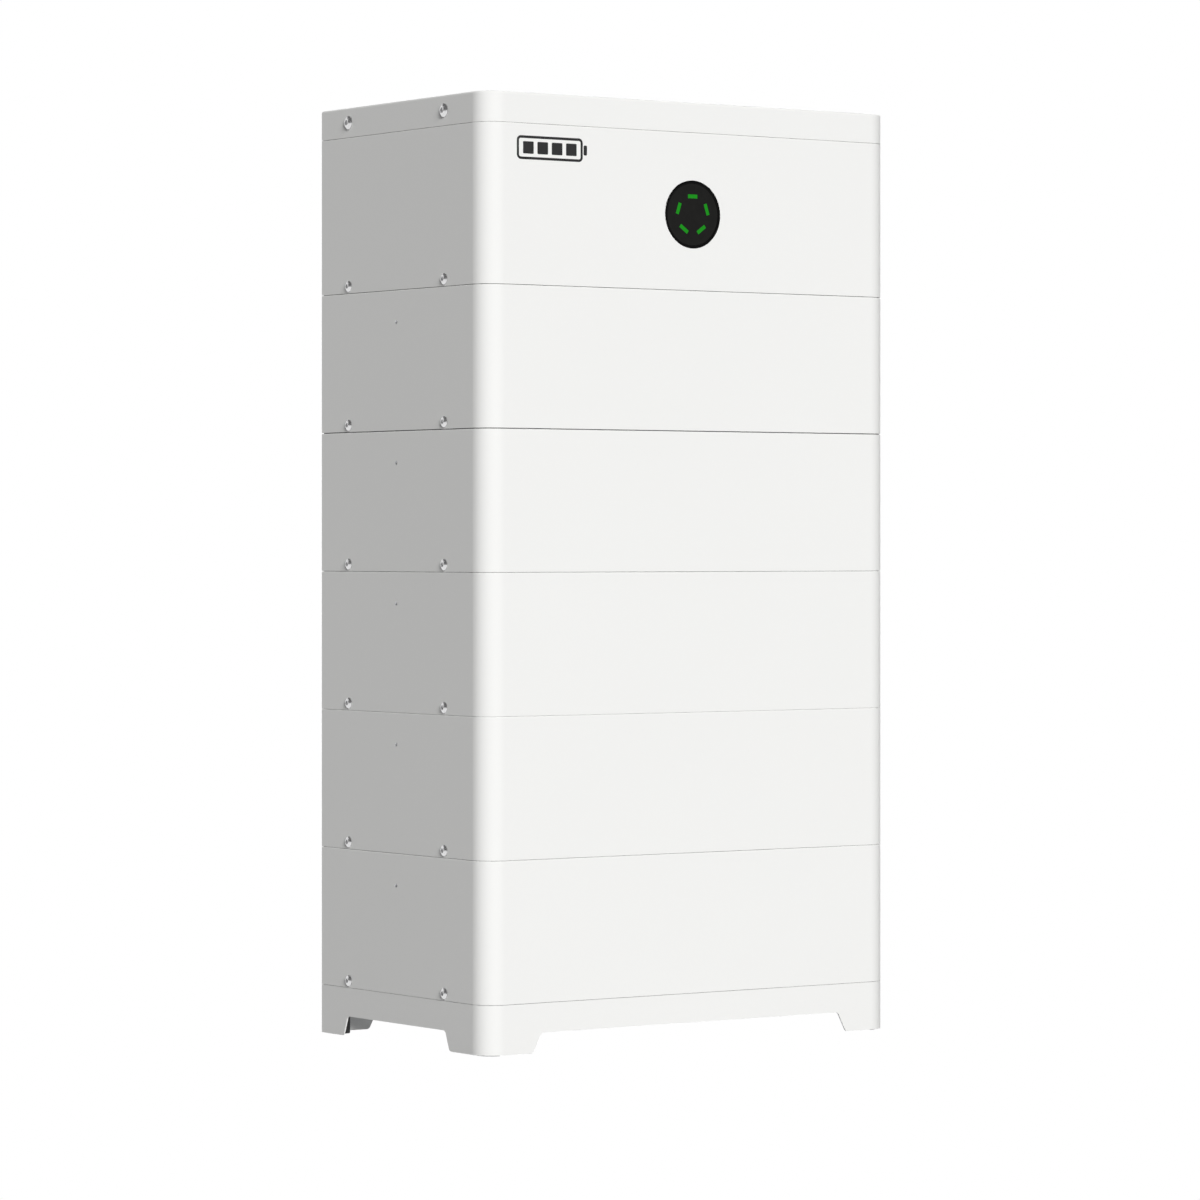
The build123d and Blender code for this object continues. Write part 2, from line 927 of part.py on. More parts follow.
def make_terminal_bay():
    """Sunken tray behind the side opening, with ears for the flap's pin."""
    with BuildPart() as bay:
        with BuildSketch(bay_plane.offset(-sheet)):
            RectangleRounded(
                bay_length + 2 * bay_flange, bay_height + 2 * bay_flange, bay_radius
            )
        extrude(amount=-sheet)
        with BuildSketch(bay_plane.offset(-sheet)):
            RectangleRounded(bay_length + 2 * sheet, bay_height + 2 * sheet, bay_radius + sheet)
        extrude(amount=-bay_depth)
        with BuildSketch(bay_plane.offset(-sheet)):
            RectangleRounded(bay_length, bay_height, bay_radius)
        extrude(amount=-(bay_depth - sheet), mode=Mode.SUBTRACT)
        for side in (-1, 1):
            with BuildSketch(Plane.XZ.offset(-(breaker_y + side * ear_y + flap_ear_width / 2))):
                with Locations((flap_axis_x, flap_axis_z)):
                    Circle(flap_barrel_radius)
                with Locations((flap_axis_x, flap_axis_z + flap_axis_drop / 2)):
                    Rectangle(2 * flap_barrel_radius, flap_axis_drop)
            extrude(amount=flap_ear_width)
        with Locations(Location((flap_axis_x, breaker_y, flap_axis_z), (90, 0, 0))):
            Cylinder(flap_pin_radius + thread_clearance, 2 * flap_width, mode=Mode.SUBTRACT)
        with BuildSketch(floor_plane):
            with Locations((breaker_y, bay_level)):
                Rectangle(breaker_width + 2 * hole_clearance, nose_height + 2 * hole_clearance)
            with Locations((button_y, bay_level)):
                Circle(housing_radius + fit_clearance)
            with Locations(*[(y, socket_level) for y in socket_ys]):
                Circle(socket_radius + fit_clearance)
            with Locations(*[(y, gland_level) for y in socket_ys]):
                Circle(gland_radius + fit_clearance)
            with Locations((earth_y, bay_level)):
                Circle(earth_tail_radius + hole_clearance)
        extrude(amount=-2 * sheet, mode=Mode.SUBTRACT)
    save(bay, "terminal_bay")


nose_x = bay_floor_x + nose_depth
lever_axis_x = nose_x - lever_axis_sink


def make_breaker():
    body_front = bay_floor_x - sheet
    with BuildPart() as body:
        with Locations((body_front, breaker_y, bay_level)):
            Box(
                breaker_body_depth,
                breaker_width,
                breaker_height,
                align=(Align.MAX, Align.CENTER, Align.CENTER),
            )
            Box(
                nose_x - body_front,
                breaker_width,
                nose_height,
                align=(Align.MIN, Align.CENTER, Align.CENTER),
            )
        front_edges = body.faces().sort_by(Axis.X)[-1].edges()
        chamfer(front_edges, 1)
        with Locations((nose_x, breaker_y, bay_level)):
            Box(
                2 * lever_slot_depth,
                lever_slot_width,
                lever_slot_height,
                mode=Mode.SUBTRACT,
            )
    save(body, "breaker_body")

    lever_plane = Plane.XZ.offset(-(breaker_y + lever_width / 2))
    with BuildPart() as lever:
        with BuildSketch(lever_plane):
            with Locations((lever_axis_x, bay_level)):
                Circle(lever_hub_radius)
                with Locations(Location((0, 0), lever_lean)):
                    with Locations((lever_length / 2, 0)):
                        Rectangle(lever_length, lever_thickness)
        extrude(amount=lever_width)
        tip = lever.faces().sort_by_distance((side_x, breaker_y, bay_level + side_x))[0]
        fillet(tip.edges(), lever_thickness / 5)
    save(lever, "breaker_lever")


def make_flap():
    """Clear flap over the breaker, hung from a pin along its top edge."""
    outer_x = flap_axis_x + flap_barrel_radius + flap_thickness / 2
    flap_plane = Plane((outer_x, breaker_y, flap_axis_z), x_dir=(0, 1, 0), z_dir=(1, 0, 0))
    barrel_plane = Plane.XZ.offset(-(breaker_y + flap_width / 2))
    with BuildPart() as flap:
        with BuildSketch(flap_plane) as face:
            with Locations((0, -flap_height / 2)):
                Rectangle(flap_width, flap_height)
            fillet(face.vertices().group_by(Axis.Y)[0], flap_corner_radius)
        extrude(amount=-flap_thickness)
        with BuildSketch(barrel_plane):
            with Locations((flap_axis_x, flap_axis_z)):
                Circle(flap_barrel_radius)
        extrude(amount=flap_width)
        with BuildSketch(flap_plane):
            with Locations((0, flap_grip_height - flap_height)):
                Rectangle(flap_width / 2, flap_grip_height)
        extrude(amount=flap_thickness / 2)
        with BuildSketch(barrel_plane):
            with Locations((flap_axis_x, flap_axis_z)):
                Circle(flap_pin_radius + pin_clearance)
        extrude(amount=flap_width, mode=Mode.SUBTRACT)
    save(flap, "breaker_flap")

    pin_length = flap_width + 2 * (flap_ear_gap + flap_ear_width)
    with BuildPart() as pin:
        with BuildSketch(Plane.XZ.offset(-(breaker_y + pin_length / 2))):
            with Locations((flap_axis_x, flap_axis_z)):
                Circle(flap_pin_radius)
        extrude(amount=pin_length)
        chamfer(pin.edges(), flap_pin_radius / 5)
    save(pin, "flap_pin")


def make_power_button():
    button_plane = Plane(
        (bay_floor_x, button_y, bay_level), x_dir=(0, 1, 0), z_dir=(1, 0, 0)
    )
    with BuildPart() as housing:
        with BuildSketch(button_plane):
            Circle(housing_flange_radius)
        extrude(amount=housing_flange_thickness)
        fillet(housing.faces().sort_by(Axis.X)[-1].edges(), housing_flange_thickness / 3)
        with BuildSketch(button_plane):
            Circle(housing_radius)
        extrude(amount=-housing_depth)
        with BuildSketch(button_plane.offset(housing_flange_thickness)):
            Circle(button_radius + button_gap)
        extrude(
            amount=-(housing_flange_thickness + housing_depth - housing_floor),
            mode=Mode.SUBTRACT,
        )
    save(housing, "button_housing")

    with BuildPart() as button:
        with BuildSketch(button_plane.offset(button_proud)):
            Circle(button_radius)
        extrude(amount=-button_body)
        fillet(button.faces().sort_by(Axis.X)[-1].edges(), button_edge_radius)
    save(button, "power_button")


def make_dc_sockets():
    spots = [(y, socket_level) for y in socket_ys]
    with BuildPart() as sockets:
        with BuildSketch(floor_plane):
            with Locations(*spots):
                Circle(socket_flange_radius)
        extrude(amount=socket_flange_thickness)
        with BuildSketch(floor_plane.offset(-socket_tail)):
            with Locations(*spots):
                Circle(socket_radius)
        extrude(amount=socket_tail + socket_proud)
        rims = sockets.faces().filter_by(Plane.YZ).group_by(Axis.X)[-1].edges()
        chamfer(rims, socket_flange_thickness / 3)
        with BuildSketch(floor_plane.offset(socket_proud)):
            with Locations(*spots):
                Circle(socket_bore_radius)
        extrude(amount=-socket_bore_depth, mode=Mode.SUBTRACT)
    save(sockets, "dc_sockets")


def make_comm_glands():
    spots = [(y, gland_level) for y in socket_ys]
    with BuildPart() as glands:
        with BuildSketch(floor_plane.offset(-gland_tail)):
            with Locations(*spots):
                Circle(gland_radius)
        extrude(amount=gland_tail + gland_proud)
        rims = glands.faces().filter_by(Plane.YZ).group_by(Axis.X)[-1].edges()
        fillet(rims, gland_radius / 4)
        with BuildSketch(floor_plane):
            with Locations(*spots):
                RegularPolygon(gland_nut_flats, 6, major_radius=False)
        extrude(amount=gland_nut_height)
        with BuildSketch(floor_plane.offset(gland_proud)):
            with Locations(*spots):
                Circle(gland_bore_radius)
        extrude(amount=-(gland_proud + gland_tail), mode=Mode.SUBTRACT)
    save(glands, "comm_glands")


def make_earth_stud():
    """Collared stud, its tail through the bay's floor and held by a nut behind."""
    with BuildPart() as stud:
        with BuildSketch(floor_plane):
            with Locations((earth_y, bay_level)):
                RegularPolygon(earth_collar_flats, 6, major_radius=False)
        extrude(amount=earth_collar_height)
        with BuildSketch(floor_plane.offset(earth_collar_height)):
            with Locations((earth_y, bay_level)):
                Circle(earth_radius)
        extrude(amount=earth_free_length)
        with BuildSketch(floor_plane):
            with Locations((earth_y, bay_level)):
                Circle(earth_tail_radius)
        extrude(amount=-(sheet + earth_tail_length))
        with BuildSketch(floor_plane.offset(-sheet)):
            with Locations((earth_y, bay_level)):
                RegularPolygon(earth_nut_flats, 6, major_radius=False)
                Circle(earth_tail_radius + thread_clearance, mode=Mode.SUBTRACT)
        extrude(amount=-earth_nut_height)
    save(stud, "earth_stud")


# ---- inside the control unit ----
pan_floor = unit_bottom(module_count) + pan_height + sheet
bar_level = pan_floor + fuse_lift
fuse_y = front_y + fuse_depth
contactor_y = front_y + contactor_depth
contactor_xs = (contactor_place, contactor_place + contactor_spacing)
breaker_rear_x = bay_floor_x - sheet - breaker_body_depth


def make_control_board():
    """Main circuit board on four pillars, its chips on top."""
    board_y = front_y + control_board_y
    pillar_x = control_board_length - 4 * standoff_radius
    pillar_y = control_board_depth - 4 * standoff_radius
    chip_step = control_board_length / (chip_count + 1)
    with BuildPart() as board:
        with Locations((control_board_x, board_y, pan_floor)):
            with GridLocations(pillar_x, pillar_y, 2, 2):
                Cylinder(
                    standoff_radius,
                    control_board_lift,
                    align=(Align.CENTER, Align.CENTER, Align.MIN),
                )
        with Locations((control_board_x, board_y, pan_floor + control_board_lift)):
            Box(
                control_board_length,
                control_board_depth,
                board_thickness,
                align=(Align.CENTER, Align.CENTER, Align.MIN),
            )
        with Locations((control_board_x, board_y, pan_floor + control_board_lift + board_thickness)):
            with GridLocations(chip_step, 2 * chip_size, chip_count, 2):
                Box(
                    chip_size,
                    chip_size,
                    chip_height,
                    align=(Align.CENTER, Align.CENTER, Align.MIN),
                )
    save(board, "control_board")


def make_contactors():
    """Two sealed relays, one in each leg of the circuit."""
    with BuildPart() as contactors:
        with BuildSketch(Plane.XY.offset(pan_floor)):
            with Locations(*[(x, contactor_y) for x in contactor_xs]):
                RectangleRounded(contactor_length, contactor_breadth, cell_edge_radius)
        extrude(amount=contactor_height)
        with BuildSketch(Plane.XY.offset(pan_floor + contactor_height)):
            with Locations(*[(x, contactor_y) for x in contactor_xs]):
                Circle(contactor_can_radius)
        extrude(amount=contactor_can_height)
    save(contactors, "contactors")


def make_fuse_link():
    """Round fuse between two flat tabs, each on a post from the pan."""
    with BuildPart() as fuse:
        for side in (-1, 1):
            tab_x = fuse_x + side * (fuse_length + fuse_tab_length) / 2
            with Locations((tab_x, fuse_y, pan_floor)):
                Box(
                    fuse_tab_length,
                    fuse_tab_width,
                    fuse_lift,
                    align=(Align.CENTER, Align.CENTER, Align.MIN),
                )
        with Locations(Location((fuse_x, fuse_y, bar_level - fuse_radius / 2), (0, 90, 0))):
            Cylinder(fuse_radius, fuse_length)
    save(fuse, "fuse_link")


def make_control_busbars():
    """Flat bars from the plug through the fuse and contactors to the breaker."""
    half = busbar_wide / 2
    link_side_x = link_x + link_breadth / 2
    incoming = (
        (fuse_y, fuse_x - fuse_length / 2, link_y - link_pin_spacing / 2),
        (contactor_y, contactor_xs[0] - contactor_length / 2, link_y + link_pin_spacing / 2),
    )
    with BuildPart() as bars:
        with BuildSketch(Plane.XY.offset(bar_level)):
            for y, end_x, pin_y in incoming:
                with Locations(((link_side_x + end_x) / 2, y)):
                    Rectangle(end_x - link_side_x, busbar_wide)
                with Locations((link_side_x + half, (y + pin_y) / 2)):
                    Rectangle(busbar_wide, abs(y - pin_y))
            contactor_front = contactor_y - contactor_breadth / 2
            far_tab_x = fuse_x + (fuse_length + fuse_tab_length) / 2
            with Locations((far_tab_x, (fuse_y + contactor_front) / 2)):
                Rectangle(busbar_wide, contactor_front - fuse_y)
            contactor_right = contactor_xs[-1] + contactor_length / 2
            turn_x = (contactor_right + breaker_rear_x) / 2
            with Locations(((contactor_right + turn_x + half) / 2, contactor_y)):
                Rectangle(turn_x + half - contactor_right, busbar_wide)
            with Locations((turn_x, (contactor_y + breaker_y) / 2)):
                Rectangle(busbar_wide, contactor_y - breaker_y)
            with Locations(((turn_x - half + breaker_rear_x) / 2, breaker_y)):
                Rectangle(breaker_rear_x - turn_x + half, busbar_wide)
        extrude(amount=busbar_thickness)
    save(bars, "control_busbars")


def make_power_leads():
    """Two insulated leads from the sockets round to the breaker's rear."""
    start_x = bay_floor_x - socket_tail
    poles = (breaker_y + breaker_width / 4, breaker_y - breaker_width / 4)
    with BuildPart() as leads:
        for index, (socket_y, pole_y) in enumerate(zip(socket_ys, poles)):
            turn_x = breaker_rear_x - lead_reach - index * 4 * lead_radius
            with BuildLine():
                FilletPolyline(
                    (start_x, socket_y, socket_level),
                    (turn_x, socket_y, socket_level),
                    (turn_x, pole_y, socket_level),
                    (breaker_rear_x, pole_y, socket_level),
                    radius=lead_bend,
                )
            with BuildSketch(Plane((start_x, socket_y, socket_level), z_dir=(-1, 0, 0))):
                Circle(lead_radius)
            sweep()
    save(leads, "power_leads")


def make_lid():
    """Shallow cap, open underneath, held by two screws on each side."""
    bottom = lid_level + lid_seam_gap / 2
    with BuildPart() as lid:
        with BuildSketch(Plane.XY.offset(bottom)):
            add(footprint(0))
        extrude(amount=top_level - bottom)
        fillet(lid.faces().sort_by(Axis.Z)[-1].edges(), lid_edge_radius)
        with BuildSketch(Plane.XY.offset(bottom)):
            add(footprint(sheet))
        extrude(amount=top_level - bottom - sheet, mode=Mode.SUBTRACT)
        with Locations(*side_places([lid_level + lid_screw_height])):
            Hole(lid_screw_radius + hole_clearance, depth=2 * sheet)
    save(lid, "lid")


# ---- rail and hooks at the wall ----
lip_bottom = rail_level + rail_height / 2
lip_top = lip_bottom + rail_lip
lip_front_y = back_y + rail_thickness + hook_gap
leg_front_y = lip_front_y + rail_thickness + hook_gap
pad_bottom = lip_top + hook_gap
pad_screw_level = pad_bottom + rail_thickness + hook_pad_height / 2
pad_screw_xs = [
    side * hook_spacing / 2 + end * hook_width / 4 for side in (-1, 1) for end in (-1, 1)
]
pad_screw_places = [
    Location((x, back_y + rail_thickness, pad_screw_level), (-90, 0, 0)) for x in pad_screw_xs
]


def make_wall_rail():
    """Slotted strip bolted to the wall, its lip stepped forward for the hooks."""
    strip_front_y = wall_y - rail_thickness
    strip_bottom = rail_level - rail_height / 2
    with BuildPart() as rail:
        with BuildSketch(Plane.YZ.offset(-rail_length / 2)):
            with BuildLine():
                Polyline(
                    (wall_y, strip_bottom),
                    (wall_y, lip_bottom),
                    (lip_front_y + rail_thickness, lip_bottom),
                    (lip_front_y + rail_thickness, lip_top),
                    (lip_front_y, lip_top),
                    (lip_front_y, lip_bottom - rail_thickness),
                    (strip_front_y, lip_bottom - rail_thickness),
                    (strip_front_y, strip_bottom),
                    close=True,
                )
            make_face()
        extrude(amount=rail_length)
        with BuildSketch(Plane.XZ.offset(-wall_y)):
            with Locations((-slot_spacing / 2, rail_level), (slot_spacing / 2, rail_level)):
                SlotOverall(slot_length, 2 * slot_radius)
        extrude(amount=2 * rail_thickness, mode=Mode.SUBTRACT)
    save(rail, "wall_rail")


def make_wall_hooks():
    """Folded hooks on the control unit's back that drop behind the rail's lip."""
    bridge_top = pad_bottom + rail_thickness
    leg_back_y = leg_front_y + rail_thickness
    leg_bottom = lip_bottom + rail_thickness
    with BuildPart() as hooks:
        for side in (-1, 1):
            with BuildSketch(Plane.YZ.offset(side * hook_spacing / 2)):
                with BuildLine():
                    Polyline(
                        (back_y, pad_bottom),
                        (back_y, bridge_top + hook_pad_height),
                        (back_y + rail_thickness, bridge_top + hook_pad_height),
                        (back_y + rail_thickness, bridge_top),
                        (leg_back_y, bridge_top),
                        (leg_back_y, leg_bottom),
                        (leg_front_y, leg_bottom),
                        (leg_front_y, pad_bottom),
                        close=True,
                    )
                make_face()
            extrude(amount=hook_width / 2, both=True)
        with Locations(*pad_screw_places):
            Hole(back_screw_radius + hole_clearance, depth=2 * rail_thickness)
    save(hooks, "wall_hooks")

    screw = domed_screw(
        back_screw_head_radius, back_screw_head_height, back_screw_radius, back_screw_length
    )
    with BuildPart() as screws:
        with Locations(*pad_screw_places):
            add(screw)
    save(screws, "hook_screws")


for module in range(module_count):
    make_module_cover(module)
    make_back(f"module_{module + 1}_back", unit_bottom(module), unit_top(module), [])
    make_module_pan(module)
    make_cells(module)
make_cell_busbars()
make_cell_clamps()
make_monitor_boards()
make_stack_sockets()
make_stack_plugs()
make_corner_brackets()
make_stacking_screws()
make_lid_screws()
make_back_screws()
make_seam_gaskets()
make_base_skirt()
make_base_deck()
make_base_feet()
make_indicator()
make_control_cover()
make_back("control_back", unit_bottom(module_count), unit_top(module_count), pad_screw_places)
make_control_pan()
make_terminal_bay()
make_breaker()
make_flap()
make_power_button()
make_dc_sockets()
make_comm_glands()
make_earth_stud()
make_control_board()
make_contactors()
make_fuse_link()
make_control_busbars()
make_power_leads()
make_lid()
make_wall_rail()
make_wall_hooks()
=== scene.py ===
import json
import math

import bmesh
import bpy
from bpy.props import FloatProperty, FloatVectorProperty, IntProperty, PointerProperty
from mathutils import Matrix, Vector


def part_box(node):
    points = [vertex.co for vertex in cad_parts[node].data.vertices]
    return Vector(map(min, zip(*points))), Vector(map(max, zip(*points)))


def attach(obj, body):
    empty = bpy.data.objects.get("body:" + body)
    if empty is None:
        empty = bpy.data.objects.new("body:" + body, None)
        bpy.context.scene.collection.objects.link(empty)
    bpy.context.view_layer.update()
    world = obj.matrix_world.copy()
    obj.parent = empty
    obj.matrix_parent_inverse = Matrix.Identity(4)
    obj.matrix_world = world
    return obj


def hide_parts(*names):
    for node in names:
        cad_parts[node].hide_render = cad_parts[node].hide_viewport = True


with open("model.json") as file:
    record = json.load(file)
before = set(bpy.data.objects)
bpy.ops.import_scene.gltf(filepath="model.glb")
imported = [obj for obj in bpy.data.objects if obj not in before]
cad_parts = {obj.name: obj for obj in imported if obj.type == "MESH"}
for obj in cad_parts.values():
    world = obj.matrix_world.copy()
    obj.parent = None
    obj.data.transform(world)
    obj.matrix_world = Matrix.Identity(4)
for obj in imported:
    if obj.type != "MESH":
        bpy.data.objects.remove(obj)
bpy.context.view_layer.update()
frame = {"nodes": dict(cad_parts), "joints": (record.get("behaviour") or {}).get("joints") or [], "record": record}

bl_info = {
    "name": "Battery tower",
    "version": (1, 0, 0),
    "blender": (4, 5, 0),
    "location": "3D View > Sidebar > Battery tower",
    "description": "Finishes, fittings and studio for a stacked home battery",
    "category": "Object",
}

TOWER = "tower"
MM = 0.001
SLOT_OF = {row["node"]: row["material_slot"] for row in frame["record"]["subparts"]}

# ---- sizes of the pieces made here ----
# side screws
SCREW_ABOVE_SEAM = 7.5 * MM  # from a seam's middle up to the screws of the unit above
SCREW_LENGTH = 8 * MM
SMALL_SHANK = 2.5 * MM
LARGE_SHANK = 3.0 * MM
HEXAGON_FLAT_SHARE = 0.36  # half the hexagon's width, as a share of the head's radius
HEXAGON_DEPTH_SHARE = 0.55  # as a share of the head's height
HEXAGON_MOUTH_SHARE = 1.06  # the hexagon's chamfered mouth, as a share of its own size
RIM_SHARE = 0.30  # height of the dome's foot, as a share of the head's height
DOME_SHARES = (0.97, 0.92, 0.85, 0.76, 0.66, 0.56, 0.47)  # rings from the rim to the socket

# threads in the handle holes
THREAD_PITCH = 0.7 * MM
THREAD_OUTER = 2.095 * MM
THREAD_CREST = 1.75 * MM
THREAD_TURNS = 5
THREAD_INSET = 0.1 * MM  # how far the thread starts inside the side wall's face

# battery sign
SIGN_BARS = 4
PRINT_LIFT = 0.05 * MM  # thickness of the printed sign

# grip ridges on the breaker's lever
LEVER_LEAN = math.radians(40)  # the lever's own direction at rest, above level
RIDGE_REACHES = (8.5 * MM, 10.3 * MM, 12.1 * MM)  # from the lever's axis
RIDGE_OFFSET = 2.5 * MM  # from the lever's middle out to a ridge
RIDGE_RADIUS = 0.45 * MM
RIDGE_STEPS = 8

# rings on the power sockets and the power button
SOCKET_RING_INNER = 11.0 * MM
SOCKET_RING_OUTER = 11.8 * MM
SOCKET_RING_WIDTH = 3 * MM
SOCKET_RING_INSET = 9 * MM  # behind the sockets' front
RING_CHAMFER = 0.2 * MM
RING_STEPS = 48

# meshes and studio
JOIN_DISTANCE = 1e-7  # points closer than this become one
BACKDROP_REACH = 30.0  # radius of the white dome in metres
FLAG_REACH = 28.0  # radius of the dim screen in metres


# ---- sizes and colours that a user would change ----
class CoatSettings(bpy.types.PropertyGroup):
    """Powder coat on the housings."""

    colour: FloatVectorProperty(
        name="Coat colour",
        description="Colour of the powder coat",
        subtype="COLOR",
        size=3,
        min=0,
        max=1,
        default=(0.9, 0.9, 0.885),
    )
    roughness: FloatProperty(
        name="Coat roughness", description="Base roughness of the coat", min=0, max=1, default=0.46
    )
    grain: FloatProperty(
        name="Coat grain", description="Size of the coat's texture", unit="LENGTH", default=0.0012
    )
    bump: FloatProperty(
        name="Coat bump", description="Strength of the coat's texture", min=0, max=1, default=0.05
    )


class IndicatorSettings(bpy.types.PropertyGroup):
    """Round indicator on the control unit."""

    glow: FloatVectorProperty(
        name="Glow colour",
        description="Colour of the lit bars",
        subtype="COLOR",
        size=3,
        min=0,
        max=1,
        default=(0.012, 0.30, 0.012),
    )
    strength: FloatProperty(
        name="Glow strength", description="Brightness of the lit bars", min=0, default=0.6
    )
    gloss: FloatProperty(
        name="Lens roughness", description="Roughness of the lens", min=0, max=1, default=0.16
    )


class ScrewSettings(bpy.types.PropertyGroup):
    """Button-head screws on the sides."""

    small_radius: FloatProperty(
        name="Small head radius",
        description="Head radius of the stacking screws",
        unit="LENGTH",
        default=0.0059,
    )
    small_height: FloatProperty(
        name="Small head height",
        description="Head height of the stacking screws",
        unit="LENGTH",
        default=0.0034,
    )
    large_radius: FloatProperty(
        name="Large head radius",
        description="Head radius of the lid screws",
        unit="LENGTH",
        default=0.0071,
    )
    large_height: FloatProperty(
        name="Large head height",
        description="Head height of the lid screws",
        unit="LENGTH",
        default=0.0042,
    )
    steps: IntProperty(
        name="Steps round", description="Segments round each head", min=12, default=48
    )


class MarkSettings(bpy.types.PropertyGroup):
    """Plain battery sign on the front."""

    width: FloatProperty(
        name="Sign width", description="Overall width of the sign", unit="LENGTH", default=0.085
    )
    height: FloatProperty(
        name="Sign height", description="Overall height of the sign", unit="LENGTH", default=0.024
    )
    left: FloatProperty(
        name="Sign inset",
        description="From the left side to the sign",
        unit="LENGTH",
        default=0.0385,
    )
    level: FloatProperty(
        name="Sign drop", description="From the lid's seam down to the sign's middle",
        unit="LENGTH", default=0.0245,
    )


class StudioSettings(bpy.types.PropertyGroup):
    """Camera and lights."""

    camera_height: FloatProperty(
        name="Camera height", description="Height of the lens above the floor",
        unit="LENGTH", default=0.5153,
    )
    camera_distance: FloatProperty(
        name="Camera distance", description="Along the view, to the near corner",
        unit="LENGTH", default=4.987,
    )
    camera_aside: FloatProperty(
        name="Camera aside", description="How far the camera stands right of the near corner",
        unit="LENGTH", default=0.1153,
    )
    turn: FloatProperty(
        name="Camera turn", description="Turn of the view round the tower",
        unit="ROTATION", default=math.radians(34.97),
    )
    lens: FloatProperty(name="Lens", description="Focal length", unit="CAMERA", default=149.27)
    shift: FloatProperty(name="Shift", description="Vertical lens shift", default=-0.0469)
    key: FloatProperty(name="Key", description="Strength of the key light", default=3.22)
    back_light: FloatProperty(
        name="Back light", description="Strength of the light from behind", default=2.2
    )
    sky: FloatProperty(name="Sky", description="Strength of the even light", default=0.08)
    flag_spread: FloatProperty(
        name="Flag spread", description="Half the turn that the dim flag spans behind the camera",
        unit="ROTATION", default=math.radians(86),
    )
    flag_height: FloatProperty(
        name="Flag height", description="Height above which the flag goes all round",
        unit="ROTATION", default=math.radians(35),
    )
    flag_glow: FloatProperty(name="Flag glow", description="Brightness of the dim flag", default=0.13)


class TowerSettings(bpy.types.PropertyGroup):
    """All settings of the battery tower."""

    coat: PointerProperty(type=CoatSettings)
    indicator: PointerProperty(type=IndicatorSettings)
    screws: PointerProperty(type=ScrewSettings)
    mark: PointerProperty(type=MarkSettings)
    studio: PointerProperty(type=StudioSettings)


# ---- shader maths ----
class Wire:
    """A socket whose sums and products add Math nodes."""

    def __init__(self, tree, socket):
        self.tree = tree
        self.socket = socket

    def maths(self, operation, other, swap=False):
        """A Math node on this socket and another value, in either order."""
        node = self.tree.nodes.new("ShaderNodeMath")
        node.operation = operation
        first, second = (other, self) if swap else (self, other)
        for place, value in enumerate((first, second)):
            if isinstance(value, Wire):
                self.tree.links.new(value.socket, node.inputs[place])
            else:
                node.inputs[place].default_value = value
        return Wire(self.tree, node.outputs[0])

    def __add__(self, other):
        return self.maths("ADD", other)

    __radd__ = __add__

    def __sub__(self, other):
        return self.maths("SUBTRACT", other)

    def __rsub__(self, other):
        return self.maths("SUBTRACT", other, swap=True)

    def __mul__(self, other):
        return self.maths("MULTIPLY", other)

    __rmul__ = __mul__

    def clamped(self):
        """The same value, held between 0 and 1."""
        return self.maths("MAXIMUM", 0.0).maths("MINIMUM", 1.0)


class Finish:
    """A material under construction, with its shader and its nodes."""

    def __init__(self, name):
        self.material = bpy.data.materials.new(name)
        self.material.use_nodes = True
        self.tree = self.material.node_tree
        self.shader = self.tree.nodes["Principled BSDF"]
        self.place = self.node("ShaderNodeTexCoord").outputs["Object"]

    def node(self, kind, settings=None, **sockets):
        """A node of the given kind, with its settings and then its sockets."""
        node = self.tree.nodes.new(kind)
        for key, value in (settings or {}).items():
            setattr(node, key, value)
        for key, value in sockets.items():
            self.feed(node.inputs[key.replace("_", " ")], value)
        return node

    def feed(self, socket, value):
        """Link a wire or an output to a socket, or set a plain value on it."""
        if isinstance(value, Wire):
            self.tree.links.new(value.socket, socket)
        elif isinstance(value, bpy.types.NodeSocket):
            self.tree.links.new(value, socket)
        else:
            socket.default_value = value

    def noise(self, size, detail=2.0, stretch=None):
        """Noise with grains of the given size in metres, from 0 to 1."""
        place = self.place
        if stretch:
            place = self.node("ShaderNodeMapping", Vector=place, Scale=stretch).outputs[0]
        node = self.node(
            "ShaderNodeTexNoise", Vector=place, Scale=1 / size, Detail=detail, Roughness=0.55
        )
        return Wire(self.tree, node.outputs["Fac"])

    def mix(self, factor, first, second):
        """A colour between two colours."""
        node = self.node("ShaderNodeMix", {"data_type": "RGBA"})
        self.feed(node.inputs[0], factor)
        self.feed(node.inputs[6], (*first, 1.0))
        self.feed(node.inputs[7], (*second, 1.0))
        return node.outputs[2]

    def height_of(self, height, strength, distance):
        """Bump from a height, at most the given distance deep."""
        node = self.node("ShaderNodeBump", Height=height, Strength=strength, Distance=distance)
        self.feed(self.shader.inputs["Normal"], node.outputs[0])

    def set(self, **values):
        """Feed the shader's own sockets."""
        for key, value in values.items():
            self.feed(self.shader.inputs[key.replace("_", " ")], value)


def tinted(colour, share):
    """A colour made brighter or darker."""
    return tuple(min(1.0, part * share) for part in colour)


# ---- finishes ----
def powder_coat(settings):
    """Satin powder coat with a fine orange-peel grain and faint drifts of tone."""
    finish = Finish("powder coat")
    grain = finish.noise(settings.grain, 3.0)
    drift = finish.noise(0.24, 2.0)
    speck = finish.noise(0.0045, 1.0)
    tone = (drift * 0.7 + speck * 0.3).clamped()
    colour = tuple(settings.colour)
    finish.set(
        Base_Color=finish.mix(tone, tinted(colour, 0.985), tinted(colour, 1.01)),
        Roughness=settings.roughness + (grain - 0.5) * 0.10 + (drift - 0.5) * 0.05,
        Metallic=0.0,
    )
    finish.shader.inputs["Specular IOR Level"].default_value = 0.32
    finish.height_of(grain, settings.bump, 0.0004)
    return finish.material


